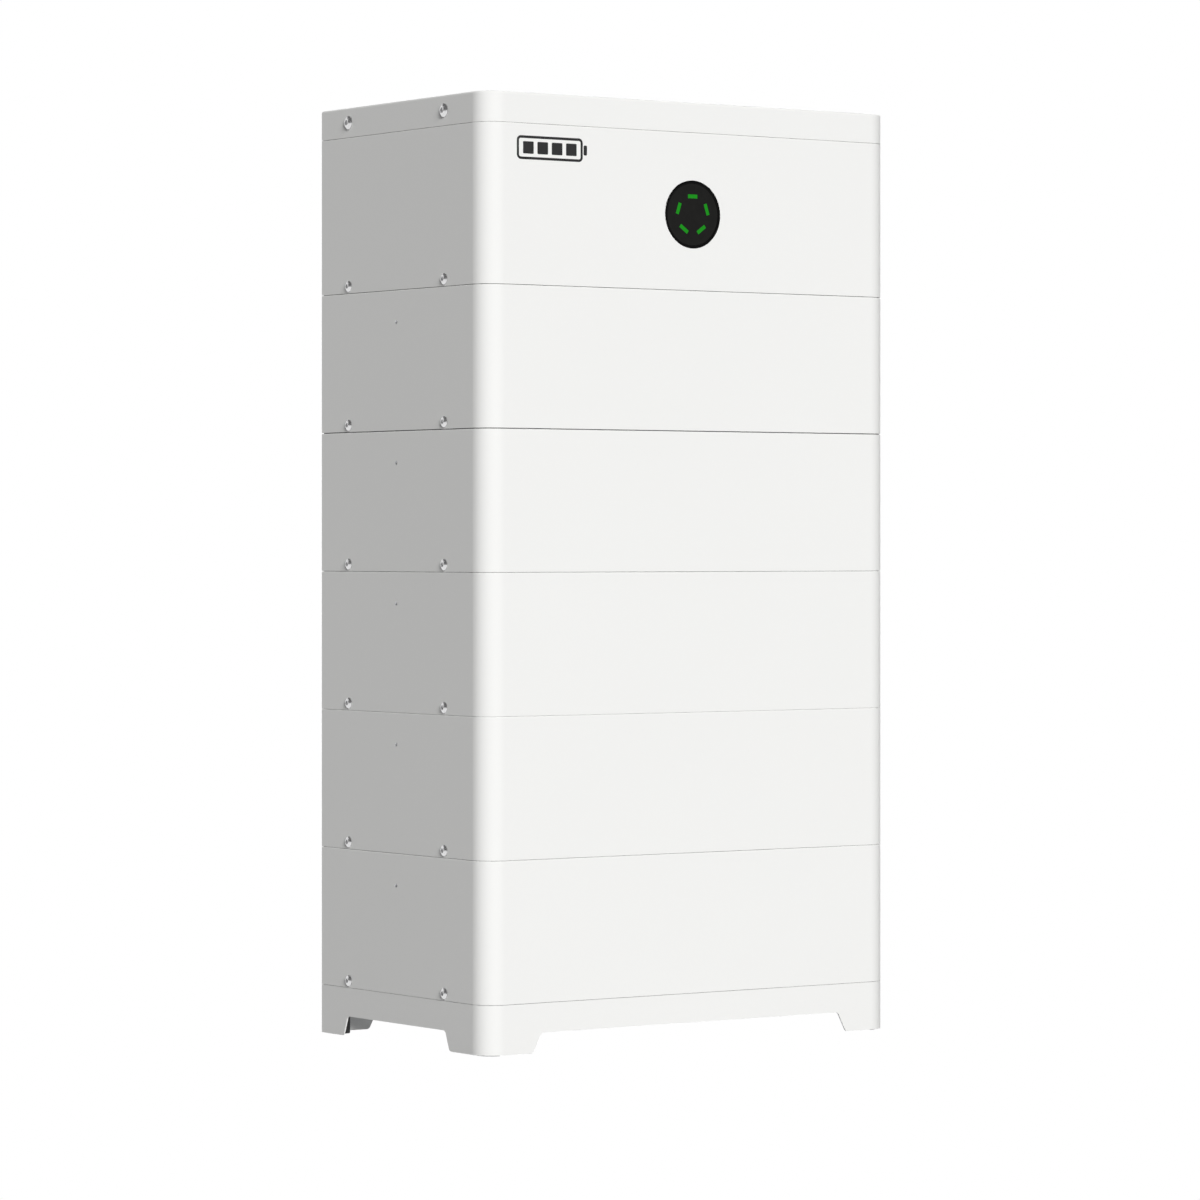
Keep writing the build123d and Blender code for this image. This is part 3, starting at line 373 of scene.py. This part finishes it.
def zinc_plate():
    """Zinc-plated sheet with a soft spangle and rolling lines."""
    finish = Finish("zinc plate")
    spangle = finish.node(
        "ShaderNodeTexVoronoi", Vector=finish.place, Scale=1 / 0.012
    ).outputs["Distance"]
    spangle = Wire(finish.tree, spangle)
    lines = finish.noise(0.002, 2.0, (0.06, 1.0, 1.0))
    tone = (spangle * 0.55 + lines * 0.45).clamped()
    finish.set(
        Base_Color=finish.mix(tone, (0.50, 0.51, 0.53), (0.70, 0.71, 0.72)),
        Roughness=0.34 + lines * 0.16,
        Metallic=0.85,
    )
    finish.height_of(lines, 0.08, 0.0002)
    return finish.material


def bright_steel():
    """Polished stainless steel with fine turning marks."""
    finish = Finish("bright steel")
    marks = finish.noise(0.0006, 3.0)
    finish.set(
        Base_Color=finish.mix(marks, (0.62, 0.62, 0.63), (0.80, 0.80, 0.80)),
        Roughness=0.20 + marks * 0.12,
        Metallic=1.0,
    )
    finish.height_of(marks, 0.05, 0.0001)
    return finish.material


def plain_metal(name, dark, light, roughness):
    """Bare metal with a drawn grain along its length."""
    finish = Finish(name)
    drawn = finish.noise(0.0014, 3.0, (0.1, 1.0, 1.0))
    stain = finish.noise(0.03, 2.0)
    finish.set(
        Base_Color=finish.mix((drawn * 0.6 + stain * 0.4).clamped(), dark, light),
        Roughness=roughness + drawn * 0.15,
        Metallic=1.0,
    )
    finish.height_of(drawn, 0.06, 0.0002)
    return finish.material


def moulded_plastic(name, dark, light, roughness, grain=0.0007, bump=0.12, specular=0.4):
    """Moulded plastic with a fine spark-eroded grain."""
    finish = Finish(name)
    fine = finish.noise(grain, 2.0)
    broad = finish.noise(0.02, 2.0)
    finish.set(
        Base_Color=finish.mix((fine * 0.4 + broad * 0.6).clamped(), dark, light),
        Roughness=roughness + (fine - 0.5) * 0.12,
    )
    finish.shader.inputs["Specular IOR Level"].default_value = specular
    finish.height_of(fine, bump, 0.0002)
    return finish.material


def gloss_lens(settings):
    """Gloss black lens with the faintest haze."""
    finish = Finish("gloss black lens")
    haze = finish.noise(0.006, 2.0)
    finish.set(
        Base_Color=finish.mix(haze, (0.0115, 0.0115, 0.011), (0.0155, 0.0155, 0.0145)),
        Roughness=settings.gloss + haze * 0.06,
    )
    finish.shader.inputs["Specular IOR Level"].default_value = 0.16
    finish.height_of(haze, 0.02, 0.0002)
    return finish.material


def green_glow(settings):
    """Lit diffuser, a little brighter in its middle."""
    finish = Finish("green diffuser")
    cloud = finish.noise(0.003, 2.0)
    glow = tuple(settings.glow)
    finish.set(
        Base_Color=finish.mix(cloud, tinted(glow, 0.25), tinted(glow, 0.35)),
        Emission_Color=finish.mix(cloud, tinted(glow, 0.85), tinted(glow, 1.15)),
        Roughness=0.35,
    )
    finish.shader.inputs["Specular IOR Level"].default_value = 0.1
    finish.shader.inputs["Emission Strength"].default_value = settings.strength
    return finish.material


def circuit_board():
    """Green solder mask with the shadow of its tracks."""
    finish = Finish("circuit board")
    tracks = finish.node(
        "ShaderNodeTexBrick", Vector=finish.place, Scale=90.0, Mortar_Size=0.03
    ).outputs["Fac"]
    tracks = Wire(finish.tree, tracks)
    cloud = finish.noise(0.01)
    finish.set(
        Base_Color=finish.mix(
            (tracks * 0.7 + cloud * 0.3).clamped(), (0.012, 0.09, 0.035), (0.05, 0.2, 0.08)
        ),
        Roughness=0.38 + cloud * 0.1,
    )
    finish.height_of(tracks, 0.1, 0.0001)
    return finish.material


def smoked_plastic():
    """Smoked clear plastic, thin enough to see the breaker through."""
    finish = Finish("smoked clear plastic")
    haze = finish.noise(0.02)
    finish.set(
        Base_Color=finish.mix(haze, (0.05, 0.052, 0.056), (0.075, 0.078, 0.082)),
        Roughness=0.10 + haze * 0.05,
        Alpha=0.40 + haze * 0.06,
    )
    finish.height_of(haze, 0.02, 0.0002)
    return finish.material


def all_finishes(settings):
    """Every finish, by the record's slot names."""
    return {
        "white_coat": powder_coat(settings.coat),
        "zinc_plate": zinc_plate(),
        "bright_steel": bright_steel(),
        "aluminium": plain_metal("drawn aluminium", (0.55, 0.56, 0.57), (0.75, 0.76, 0.77), 0.3),
        "copper": plain_metal("bare copper", (0.55, 0.26, 0.15), (0.8, 0.45, 0.3), 0.25),
        "cell_film": moulded_plastic("blue cell film", (0.02, 0.07, 0.2), (0.03, 0.1, 0.27), 0.35),
        "board": circuit_board(),
        "foam": moulded_plastic("grey foam", (0.10, 0.10, 0.10), (0.16, 0.16, 0.16), 0.9, 0.0016, 0.5),
        "black_steel": plain_metal("black steel", (0.05, 0.05, 0.055), (0.10, 0.10, 0.11), 0.45),
        "black_gloss": gloss_lens(settings.indicator),
        "dark_plastic": moulded_plastic(
            "dark plastic", (0.012, 0.012, 0.013), (0.024, 0.024, 0.025), 0.42
        ),
        "bezel_black": moulded_plastic(
            "black ring", (0.0015, 0.0015, 0.0015), (0.003, 0.003, 0.003), 0.35, specular=0.1
        ),
        "breaker_grey": moulded_plastic(
            "light grey plastic", (0.52, 0.52, 0.50), (0.62, 0.62, 0.60), 0.48
        ),
        "smoked_clear": smoked_plastic(),
        "green_light": green_glow(settings.indicator),
        "lead_cover": moulded_plastic("lead cover", (0.35, 0.03, 0.01), (0.5, 0.06, 0.02), 0.45),
    }


FINISHES = {}


def give(piece, slot):
    """Paint a piece with a slot's finish, whatever slots its mesh has."""
    material = FINISHES[slot]
    if piece.data.materials:
        for place in piece.material_slots:
            place.material = material
    else:
        piece.data.materials.append(material)


# ---- helpers for new pieces ----
def smooth(mesh, angle):
    """Shade smooth where faces meet at less than the angle."""
    for face in mesh.faces:
        face.smooth = True
    for edge in mesh.edges:
        if len(edge.link_faces) == 2 and edge.calc_face_angle() > angle:
            edge.smooth = False


def link_mesh(name, mesh):
    """Turn a finished bmesh into an object."""
    data = bpy.data.meshes.new(name)
    mesh.to_mesh(data)
    mesh.free()
    thing = bpy.data.objects.new(name, data)
    bpy.context.collection.objects.link(thing)
    return thing


def new_piece(name, mesh, slot, body=TOWER, smooth_below=None):
    """Turn a bmesh into a painted piece that rides on a body, smooth below an angle in degrees."""
    bmesh.ops.remove_doubles(mesh, verts=mesh.verts, dist=JOIN_DISTANCE)
    bmesh.ops.recalc_face_normals(mesh, faces=mesh.faces)
    if smooth_below:
        smooth(mesh, math.radians(smooth_below))
    piece = link_mesh(name, mesh)
    give(piece, slot)
    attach(piece, body)
    return piece


def ring_of(mesh, place, height, steps, reach):
    """A ring of points round place's Z axis, whose reach is worked out from the angle."""
    ring = []
    for step in range(steps):
        angle = math.tau * step / steps
        radius = reach(angle)
        point = Vector((radius * math.cos(angle), radius * math.sin(angle), height))
        ring.append(mesh.verts.new(place @ point))
    return ring


def bridge(mesh, low, high):
    """Faces between two rings, where a ring of one point is a tip."""
    steps = max(len(low), len(high))
    for step in range(steps):
        after = (step + 1) % steps
        if len(low) == 1:
            mesh.faces.new((low[0], high[step], high[after]))
        elif len(high) == 1:
            mesh.faces.new((low[step], low[after], high[0]))
        else:
            mesh.faces.new((low[step], low[after], high[after], high[step]))


def lathe(mesh, profile, place, steps):
    """Turn a profile of (radius, height) round place's Z axis, and give its last ring."""
    rings = []
    for radius, height in profile:
        if radius < JOIN_DISTANCE:
            rings.append([mesh.verts.new(place @ Vector((0, 0, height)))])
        else:
            rings.append(ring_of(mesh, place, height, steps, lambda angle: radius))
    for low, high in zip(rings, rings[1:]):
        bridge(mesh, low, high)
    return rings[-1]


def hexagon_radius(flat, angle):
    """Distance from the middle of a hexagon to its side, in one direction."""
    sixth = math.tau / 6
    return flat / math.cos((angle + sixth / 2) % sixth - sixth / 2)


def button_head(mesh, place, radius, height, shank, length, steps):
    """A button-head screw with a flanged rim, a dome and a hexagon socket."""
    flat = radius * HEXAGON_FLAT_SHARE
    depth = height * HEXAGON_DEPTH_SHARE
    shaft = [(0, -length), (shank, -length), (shank, 0)]
    flange = [
        (radius * 0.97, 0),
        (radius, height * 0.05),
        (radius, height * 0.22),
        (radius * 0.99, height * 0.28),
    ]
    dome = [
        (radius * share, height * (RIM_SHARE + (1 - RIM_SHARE) * (1 - share**2) ** 0.85))
        for share in DOME_SHARES
    ]
    crown = lathe(mesh, shaft + flange + dome, place, steps)
    top = dome[-1][1] + height * 0.02
    rings = [crown]
    for level, share in ((top, HEXAGON_MOUTH_SHARE), (top - depth * 0.12, 1), (top - depth, 1)):
        rings.append(
            ring_of(mesh, place, level, steps, lambda angle: hexagon_radius(flat, angle) * share)
        )
    for low, high in zip(rings, rings[1:]):
        bridge(mesh, low, high)
    mesh.faces.new(rings[-1])


def outward(side, x, y, z):
    """Place on a side wall, x from the middle, whose Z axis points out of the wall."""
    turn = Matrix.Rotation(side * math.pi / 2, 4, "Y")
    return Matrix.Translation((side * x, y, z)) @ turn


def unit_nodes():
    """Housing nodes from the floor up."""
    modules = [f"module_{number}_cover" for number in range(1, 6)]
    return ["base_skirt"] + modules + ["control_cover"]


def seam_heights():
    """Middle of every seam that a stacking screw stands above."""
    nodes = unit_nodes()
    return [(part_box(low)[1][2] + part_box(high)[0][2]) / 2 for low, high in zip(nodes, nodes[1:])]


def rounded_loop(centre, width, height, radius):
    """Points round an upright rounded rectangle, as (x, z)."""
    steps = 8
    points = []
    corners = ((1, 1), (-1, 1), (-1, -1), (1, -1))
    for quarter, (right, up) in enumerate(corners):
        middle_x = centre[0] + right * (width / 2 - radius)
        middle_z = centre[1] + up * (height / 2 - radius)
        for step in range(steps + 1):
            angle = math.pi / 2 * (quarter + step / steps)
            points.append((middle_x + radius * math.cos(angle), middle_z + radius * math.sin(angle)))
    return points


def printed_plate(mesh, loops, front, lift):
    """A thin printed shape from one outer loop, or a band between two loops."""
    rows = [
        [mesh.verts.new((x, y, z)) for x, z in loop]
        for loop in loops
        for y in (front - lift, front)
    ]
    pairs = [(rows[0], rows[1])]
    if len(loops) == 2:
        pairs += [(rows[2], rows[3]), (rows[0], rows[2]), (rows[1], rows[3])]
    else:
        mesh.faces.new(rows[0])
        mesh.faces.new(rows[1])
    for first, second in pairs:
        bridge(mesh, first, second)


# ---- operators ----
def nodes_in(*slots):
    """CAD nodes whose slot is one of these."""
    return [node for node, slot in SLOT_OF.items() if slot in slots]


class PaintOperator:
    """Gives the listed CAD nodes their finishes."""

    bl_options = {"REGISTER"}
    nodes = ()

    def execute(self, context):
        for node in self.nodes:
            give(frame["nodes"][node], SLOT_OF[node])
        return {"FINISHED"}


class TOWER_OT_finishes(bpy.types.Operator):
    """Make every finish from the settings"""

    bl_idname = "tower.finishes"
    bl_label = "Make finishes"

    def execute(self, context):
        FINISHES.update(all_finishes(context.scene.tower))
        return {"FINISHED"}


class TOWER_OT_housings(PaintOperator, bpy.types.Operator):
    """Coat the covers, the lid, the skirt and the terminal bay"""

    bl_idname = "tower.housings"
    bl_label = "Housings"
    nodes = nodes_in("white_coat")


class TOWER_OT_metalwork(PaintOperator, bpy.types.Operator):
    """Finish the back panels, pans, brackets, wall rail, hooks and small steel pieces"""

    bl_idname = "tower.metalwork"
    bl_label = "Metalwork"
    nodes = nodes_in("zinc_plate", "bright_steel", "black_steel", "aluminium")


class TOWER_OT_cells(PaintOperator, bpy.types.Operator):
    """Finish the cells, busbars, boards, leads and connectors inside"""

    bl_idname = "tower.cells"
    bl_label = "Cells and circuits"
    nodes = nodes_in("cell_film", "copper", "board", "lead_cover")


class TOWER_OT_plastics(PaintOperator, bpy.types.Operator):
    """Finish the plastic and foam pieces"""

    bl_idname = "tower.plastics"
    bl_label = "Plastics and foam"
    nodes = nodes_in("foam", "dark_plastic", "breaker_grey", "smoked_clear")


class TOWER_OT_indicator(PaintOperator, bpy.types.Operator):
    """Finish the round indicator's ring, lens and lit bars"""

    bl_idname = "tower.indicator"
    bl_label = "Indicator"
    nodes = ["indicator_bezel", "indicator_lens", "indicator_lights"]


class TOWER_OT_screws(bpy.types.Operator):
    """Model the button-head screws on both sides"""

    bl_idname = "tower.screws"
    bl_label = "Screws"

    def execute(self, context):
        settings = context.scene.tower.screws
        side_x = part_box("control_cover")[1][0]
        lid_low, lid_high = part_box("lid_screws")
        groups = (
            ("stacking_screws", settings.small_radius, settings.small_height, SMALL_SHANK,
             [level + SCREW_ABOVE_SEAM for level in seam_heights()]),
            ("lid_screws", settings.large_radius, settings.large_height, LARGE_SHANK,
             [(lid_low[2] + lid_high[2]) / 2]),
        )
        for node, radius, height, shank, levels in groups:
            low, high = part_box(node)
            mesh = bmesh.new()
            for side in (-1, 1):
                for y in (low[1] + radius, high[1] - radius):
                    for level in levels:
                        place = outward(side, side_x, y, level)
                        button_head(mesh, place, radius, height, shank, SCREW_LENGTH, settings.steps)
            piece = new_piece(f"{node}_heads", mesh, "bright_steel", smooth_below=32)
            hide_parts(node)
        return {"FINISHED"}


class TOWER_OT_threads(bpy.types.Operator):
    """Model the thread's ridges inside each module's handle holes"""

    bl_idname = "tower.threads"
    bl_label = "Handle threads"

    def execute(self, context):
        steps = 24
        end = -THREAD_INSET - THREAD_TURNS * THREAD_PITCH
        profile = [(THREAD_OUTER, -THREAD_INSET)]
        for turn in range(THREAD_TURNS):
            start = -THREAD_INSET - turn * THREAD_PITCH
            crest = (THREAD_CREST, start - 0.45 * THREAD_PITCH)
            root = (THREAD_OUTER - 0.03 * MM, start - 0.95 * THREAD_PITCH)
            profile += [crest, root]
        profile += [(THREAD_OUTER, end), (THREAD_OUTER, -THREAD_INSET)]
        side_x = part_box("control_cover")[1][0]
        mesh = bmesh.new()
        for mount in frame["record"]["mounts"]:
            if "_handle_" in mount["name"]:
                x, y, z = mount["pos_m"]
                side = 1 if x > 0 else -1
                lathe(mesh, profile, outward(side, side_x, y, z), steps)
        new_piece("handle_threads", mesh, "zinc_plate", smooth_below=30)
        return {"FINISHED"}


class TOWER_OT_sign(bpy.types.Operator):
    """Print a plain battery sign on the front of the control unit"""

    bl_idname = "tower.sign"
    bl_label = "Battery sign"

    def execute(self, context):
        settings = context.scene.tower.mark
        low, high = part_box("control_cover")
        front = low[1]
        height = settings.height
        line = height * 0.11
        corner = height * 0.2
        nub = settings.width * 0.05
        nub_height = height * 0.42
        nub_corner = nub * 0.3
        body = settings.width - nub
        inside = body - 4 * line
        step = inside / SIGN_BARS
        bar_width = step * 0.74
        bar_height = height - 4.4 * line
        bar_corner = line * 0.4
        middle_x = low[0] + settings.left + body / 2
        nub_x = middle_x + body / 2 + nub * 0.75
        level = high[2] - settings.level
        mesh = bmesh.new()
        outer = rounded_loop((middle_x, level), body, height, corner)
        inner = rounded_loop((middle_x, level), body - 2 * line, height - 2 * line, corner - line)
        printed_plate(mesh, [outer, inner], front, PRINT_LIFT)
        nub_loop = rounded_loop((nub_x, level), nub, nub_height, nub_corner)
        printed_plate(mesh, [nub_loop], front, PRINT_LIFT)
        for bar in range(SIGN_BARS):
            bar_x = middle_x - inside / 2 + step * (bar + 0.5)
            loop = rounded_loop((bar_x, level), bar_width, bar_height, bar_corner)
            printed_plate(mesh, [loop], front, PRINT_LIFT)
        new_piece("battery_sign", mesh, "dark_plastic")
        return {"FINISHED"}


class TOWER_OT_bay_details(bpy.types.Operator):
    """Model the small details of the terminal bay: rings and grip ridges"""

    bl_idname = "tower.bay_details"
    bl_label = "Terminal bay details"

    def execute(self, context):
        self.button_ring()
        self.lever_ridges()
        self.socket_rings()
        return {"FINISHED"}

    def button_ring(self):
        """Thin ring printed on the power button's face."""
        low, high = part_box("power_button")
        radius = (high[1] - low[1]) * 0.28
        bore = radius * 0.84
        thickness = 0.08 * MM
        place = outward(1, high[0], (low[1] + high[1]) / 2, (low[2] + high[2]) / 2)
        profile = [(bore, 0), (radius, 0), (radius, thickness), (bore, thickness), (bore, 0)]
        mesh = bmesh.new()
        lathe(mesh, profile, place, RING_STEPS)
        new_piece("button_ring", mesh, "breaker_grey", "power_button")

    def lever_ridges(self):
        """Grip ridges across both faces of the lever's outer end."""
        joint = next(joint for joint in frame["joints"] if joint["name"] == "breaker_lever_turn")
        axis = Vector(joint["pos_m"])
        low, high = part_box("breaker_lever")
        along = Vector((math.cos(LEVER_LEAN), 0, math.sin(LEVER_LEAN)))
        across = Vector((-math.sin(LEVER_LEAN), 0, math.cos(LEVER_LEAN)))
        half = (high[1] - low[1]) * 0.42
        mesh = bmesh.new()
        for reach in RIDGE_REACHES:
            for face in (-1, 1):
                centre = axis + along * reach + across * face * RIDGE_OFFSET
                ends = []
                for y in (-half, half):
                    ring = []
                    for step in range(RIDGE_STEPS):
                        angle = math.tau * step / RIDGE_STEPS
                        swell = (along * math.cos(angle) + across * math.sin(angle)) * RIDGE_RADIUS
                        ring.append(mesh.verts.new(centre + Vector((0, y, 0)) + swell))
                    mesh.faces.new(ring)
                    ends.append(ring)
                bridge(mesh, *ends)
        new_piece("lever_ridges", mesh, "dark_plastic", "breaker_lever", smooth_below=50)

    def socket_rings(self):
        """Coloured rings that tell the two power sockets apart."""
        low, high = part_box("dc_sockets")
        radius = (high[2] - low[2]) / 2
        level = (low[2] + high[2]) / 2
        profile = [
            (SOCKET_RING_INNER, 0),
            (SOCKET_RING_OUTER, RING_CHAMFER),
            (SOCKET_RING_OUTER, SOCKET_RING_WIDTH - RING_CHAMFER),
            (SOCKET_RING_INNER, SOCKET_RING_WIDTH),
            (SOCKET_RING_INNER, 0),
        ]
        for name, y, slot in (
            ("socket_ring_plus", low[1] + radius, "lead_cover"),
            ("socket_ring_minus", high[1] - radius, "breaker_grey"),
        ):
            mesh = bmesh.new()
            lathe(mesh, profile, outward(1, high[0] - SOCKET_RING_INSET, y, level), RING_STEPS)
            new_piece(name, mesh, slot, smooth_below=40)


def view_ways(turn):
    """Level directions away from the camera and to its right."""
    forward = Vector((math.sin(turn), math.cos(turn), 0))
    right = Vector((math.cos(turn), -math.sin(turn), 0))
    return forward, right


class TOWER_OT_stage(bpy.types.Operator):
    """Set up the floor, the backdrop, the lights and the camera"""

    bl_idname = "tower.stage"
    bl_label = "Studio"

    def execute(self, context):
        settings = context.scene.tower.studio
        context.scene.view_settings.view_transform = "Standard"
        self.backdrop()
        self.flag(settings)
        self.sky(settings)
        self.suns(settings)
        self.camera(context, settings)
        return {"FINISHED"}

    def dome(self, name, reach, brightness, floor=False, keep=None):
        """A glowing dome that lights nothing, with or without a floor, of the faces that are kept."""
        rows = 16
        steps = 64
        profile = [(0, 0)] if floor else []
        for row in range(rows):
            angle = math.pi / 2 * row / rows
            profile.append((reach * math.cos(angle), reach * math.sin(angle)))
        mesh = bmesh.new()
        lathe(mesh, profile + [(0, reach)], Matrix.Identity(4), steps)
        if keep:
            unwanted = [face for face in mesh.faces if not keep(face.calc_center_median().normalized())]
            bmesh.ops.delete(mesh, geom=unwanted, context="FACES")
        dome = link_mesh(name, mesh)
        finish = bpy.data.materials.new(name)
        finish.use_nodes = True
        nodes = finish.node_tree.nodes
        nodes.clear()
        glow = nodes.new("ShaderNodeEmission")
        glow.inputs["Strength"].default_value = brightness
        output = nodes.new("ShaderNodeOutputMaterial")
        finish.node_tree.links.new(glow.outputs[0], output.inputs[0])
        dome.data.materials.append(finish)
        dome.visible_diffuse = False
        dome.visible_shadow = False
        return dome

    def backdrop(self):
        """White floor that rises into a white dome all round."""
        self.dome("studio white", BACKDROP_REACH, 1.0, floor=True)

    def flag(self, settings):
        """Dim screen behind the camera and overhead, seen only in reflections."""
        forward = view_ways(settings.turn)[0]

        def dim(way):
            behind_camera = -way.dot(forward) > math.cos(settings.flag_spread)
            return behind_camera or way.z > math.sin(settings.flag_height)

        flag = self.dome("studio flag", FLAG_REACH, settings.flag_glow, keep=dim)
        flag.visible_camera = False

    def sky(self, settings):
        """Even light from all round."""
        world = bpy.data.worlds.new("even light")
        world.use_nodes = True
        background = world.node_tree.nodes["Background"]
        background.inputs["Color"].default_value = (1, 1, 1, 1)
        background.inputs["Strength"].default_value = settings.sky
        bpy.context.scene.world = world

    def suns(self, settings):
        """Soft key light from beside the camera and a light from behind the tower."""
        self.sun("key", settings.key, settings.turn, aside=13.5, height=20, spread=25)
        self.sun("back_light", settings.back_light, settings.turn, aside=168, height=30, spread=40)

    def sun(self, name, strength, turn, aside, height, spread):
        """A sun, aside of the camera and above the floor by angles in degrees."""
        forward, right = view_ways(turn)
        light = bpy.data.lights.new(name, "SUN")
        light.energy = strength
        light.angle = math.radians(spread)
        lamp = bpy.data.objects.new(name, light)
        lamp.visible_glossy = False
        bpy.context.collection.objects.link(lamp)
        aside = math.radians(aside)
        height = math.radians(height)
        level = -forward * math.cos(aside) + right * math.sin(aside)
        towards = level * math.cos(height) + Vector((0, 0, math.sin(height)))
        lamp.rotation_euler = towards.to_track_quat("Z", "Y").to_euler()

    def camera(self, context, settings):
        """Camera placed from the tower's near corner, level, with a vertical shift."""
        forward, right = view_ways(settings.turn)
        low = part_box("control_cover")[0]
        corner = Vector((low[0], low[1], 0))
        data = bpy.data.cameras.new("camera")
        data.lens = settings.lens
        data.sensor_width = 36
        data.shift_y = settings.shift
        data.clip_end = 200
        camera = bpy.data.objects.new("camera", data)
        bpy.context.collection.objects.link(camera)
        camera.location = (
            corner - forward * settings.camera_distance + right * settings.camera_aside
            + Vector((0, 0, settings.camera_height))
        )
        camera.rotation_euler = (math.pi / 2, 0, -settings.turn)
        context.scene.camera = camera


STEPS = (
    TOWER_OT_finishes,
    TOWER_OT_housings,
    TOWER_OT_metalwork,
    TOWER_OT_cells,
    TOWER_OT_plastics,
    TOWER_OT_indicator,
    TOWER_OT_screws,
    TOWER_OT_threads,
    TOWER_OT_sign,
    TOWER_OT_bay_details,
    TOWER_OT_stage,
)


class TOWER_PT_sidebar(bpy.types.Panel):
    """Lists the tower's operators and settings"""

    bl_label = "Battery tower"
    bl_space_type = "VIEW_3D"
    bl_region_type = "UI"
    bl_category = "Battery tower"

    def draw(self, context):
        for step in STEPS:
            self.layout.operator(step.bl_idname)
        settings = context.scene.tower
        for group in (settings.coat, settings.indicator, settings.screws, settings.mark, settings.studio):
            box = self.layout.box()
            for name in group.bl_rna.properties.keys():
                if name not in ("rna_type", "name"):
                    box.prop(group, name)


CLASSES = (
    CoatSettings,
    IndicatorSettings,
    ScrewSettings,
    MarkSettings,
    StudioSettings,
    TowerSettings,
) + STEPS + (TOWER_PT_sidebar,)


def register():
    for item in CLASSES:
        bpy.utils.register_class(item)
    bpy.types.Scene.tower = PointerProperty(type=TowerSettings)


def unregister():
    del bpy.types.Scene.tower
    for item in reversed(CLASSES):
        bpy.utils.unregister_class(item)


def main():
    register()
    for step in STEPS:
        group, name = step.bl_idname.split(".")
        getattr(getattr(bpy.ops, group), name)()


if __name__ == "__main__":
    main()
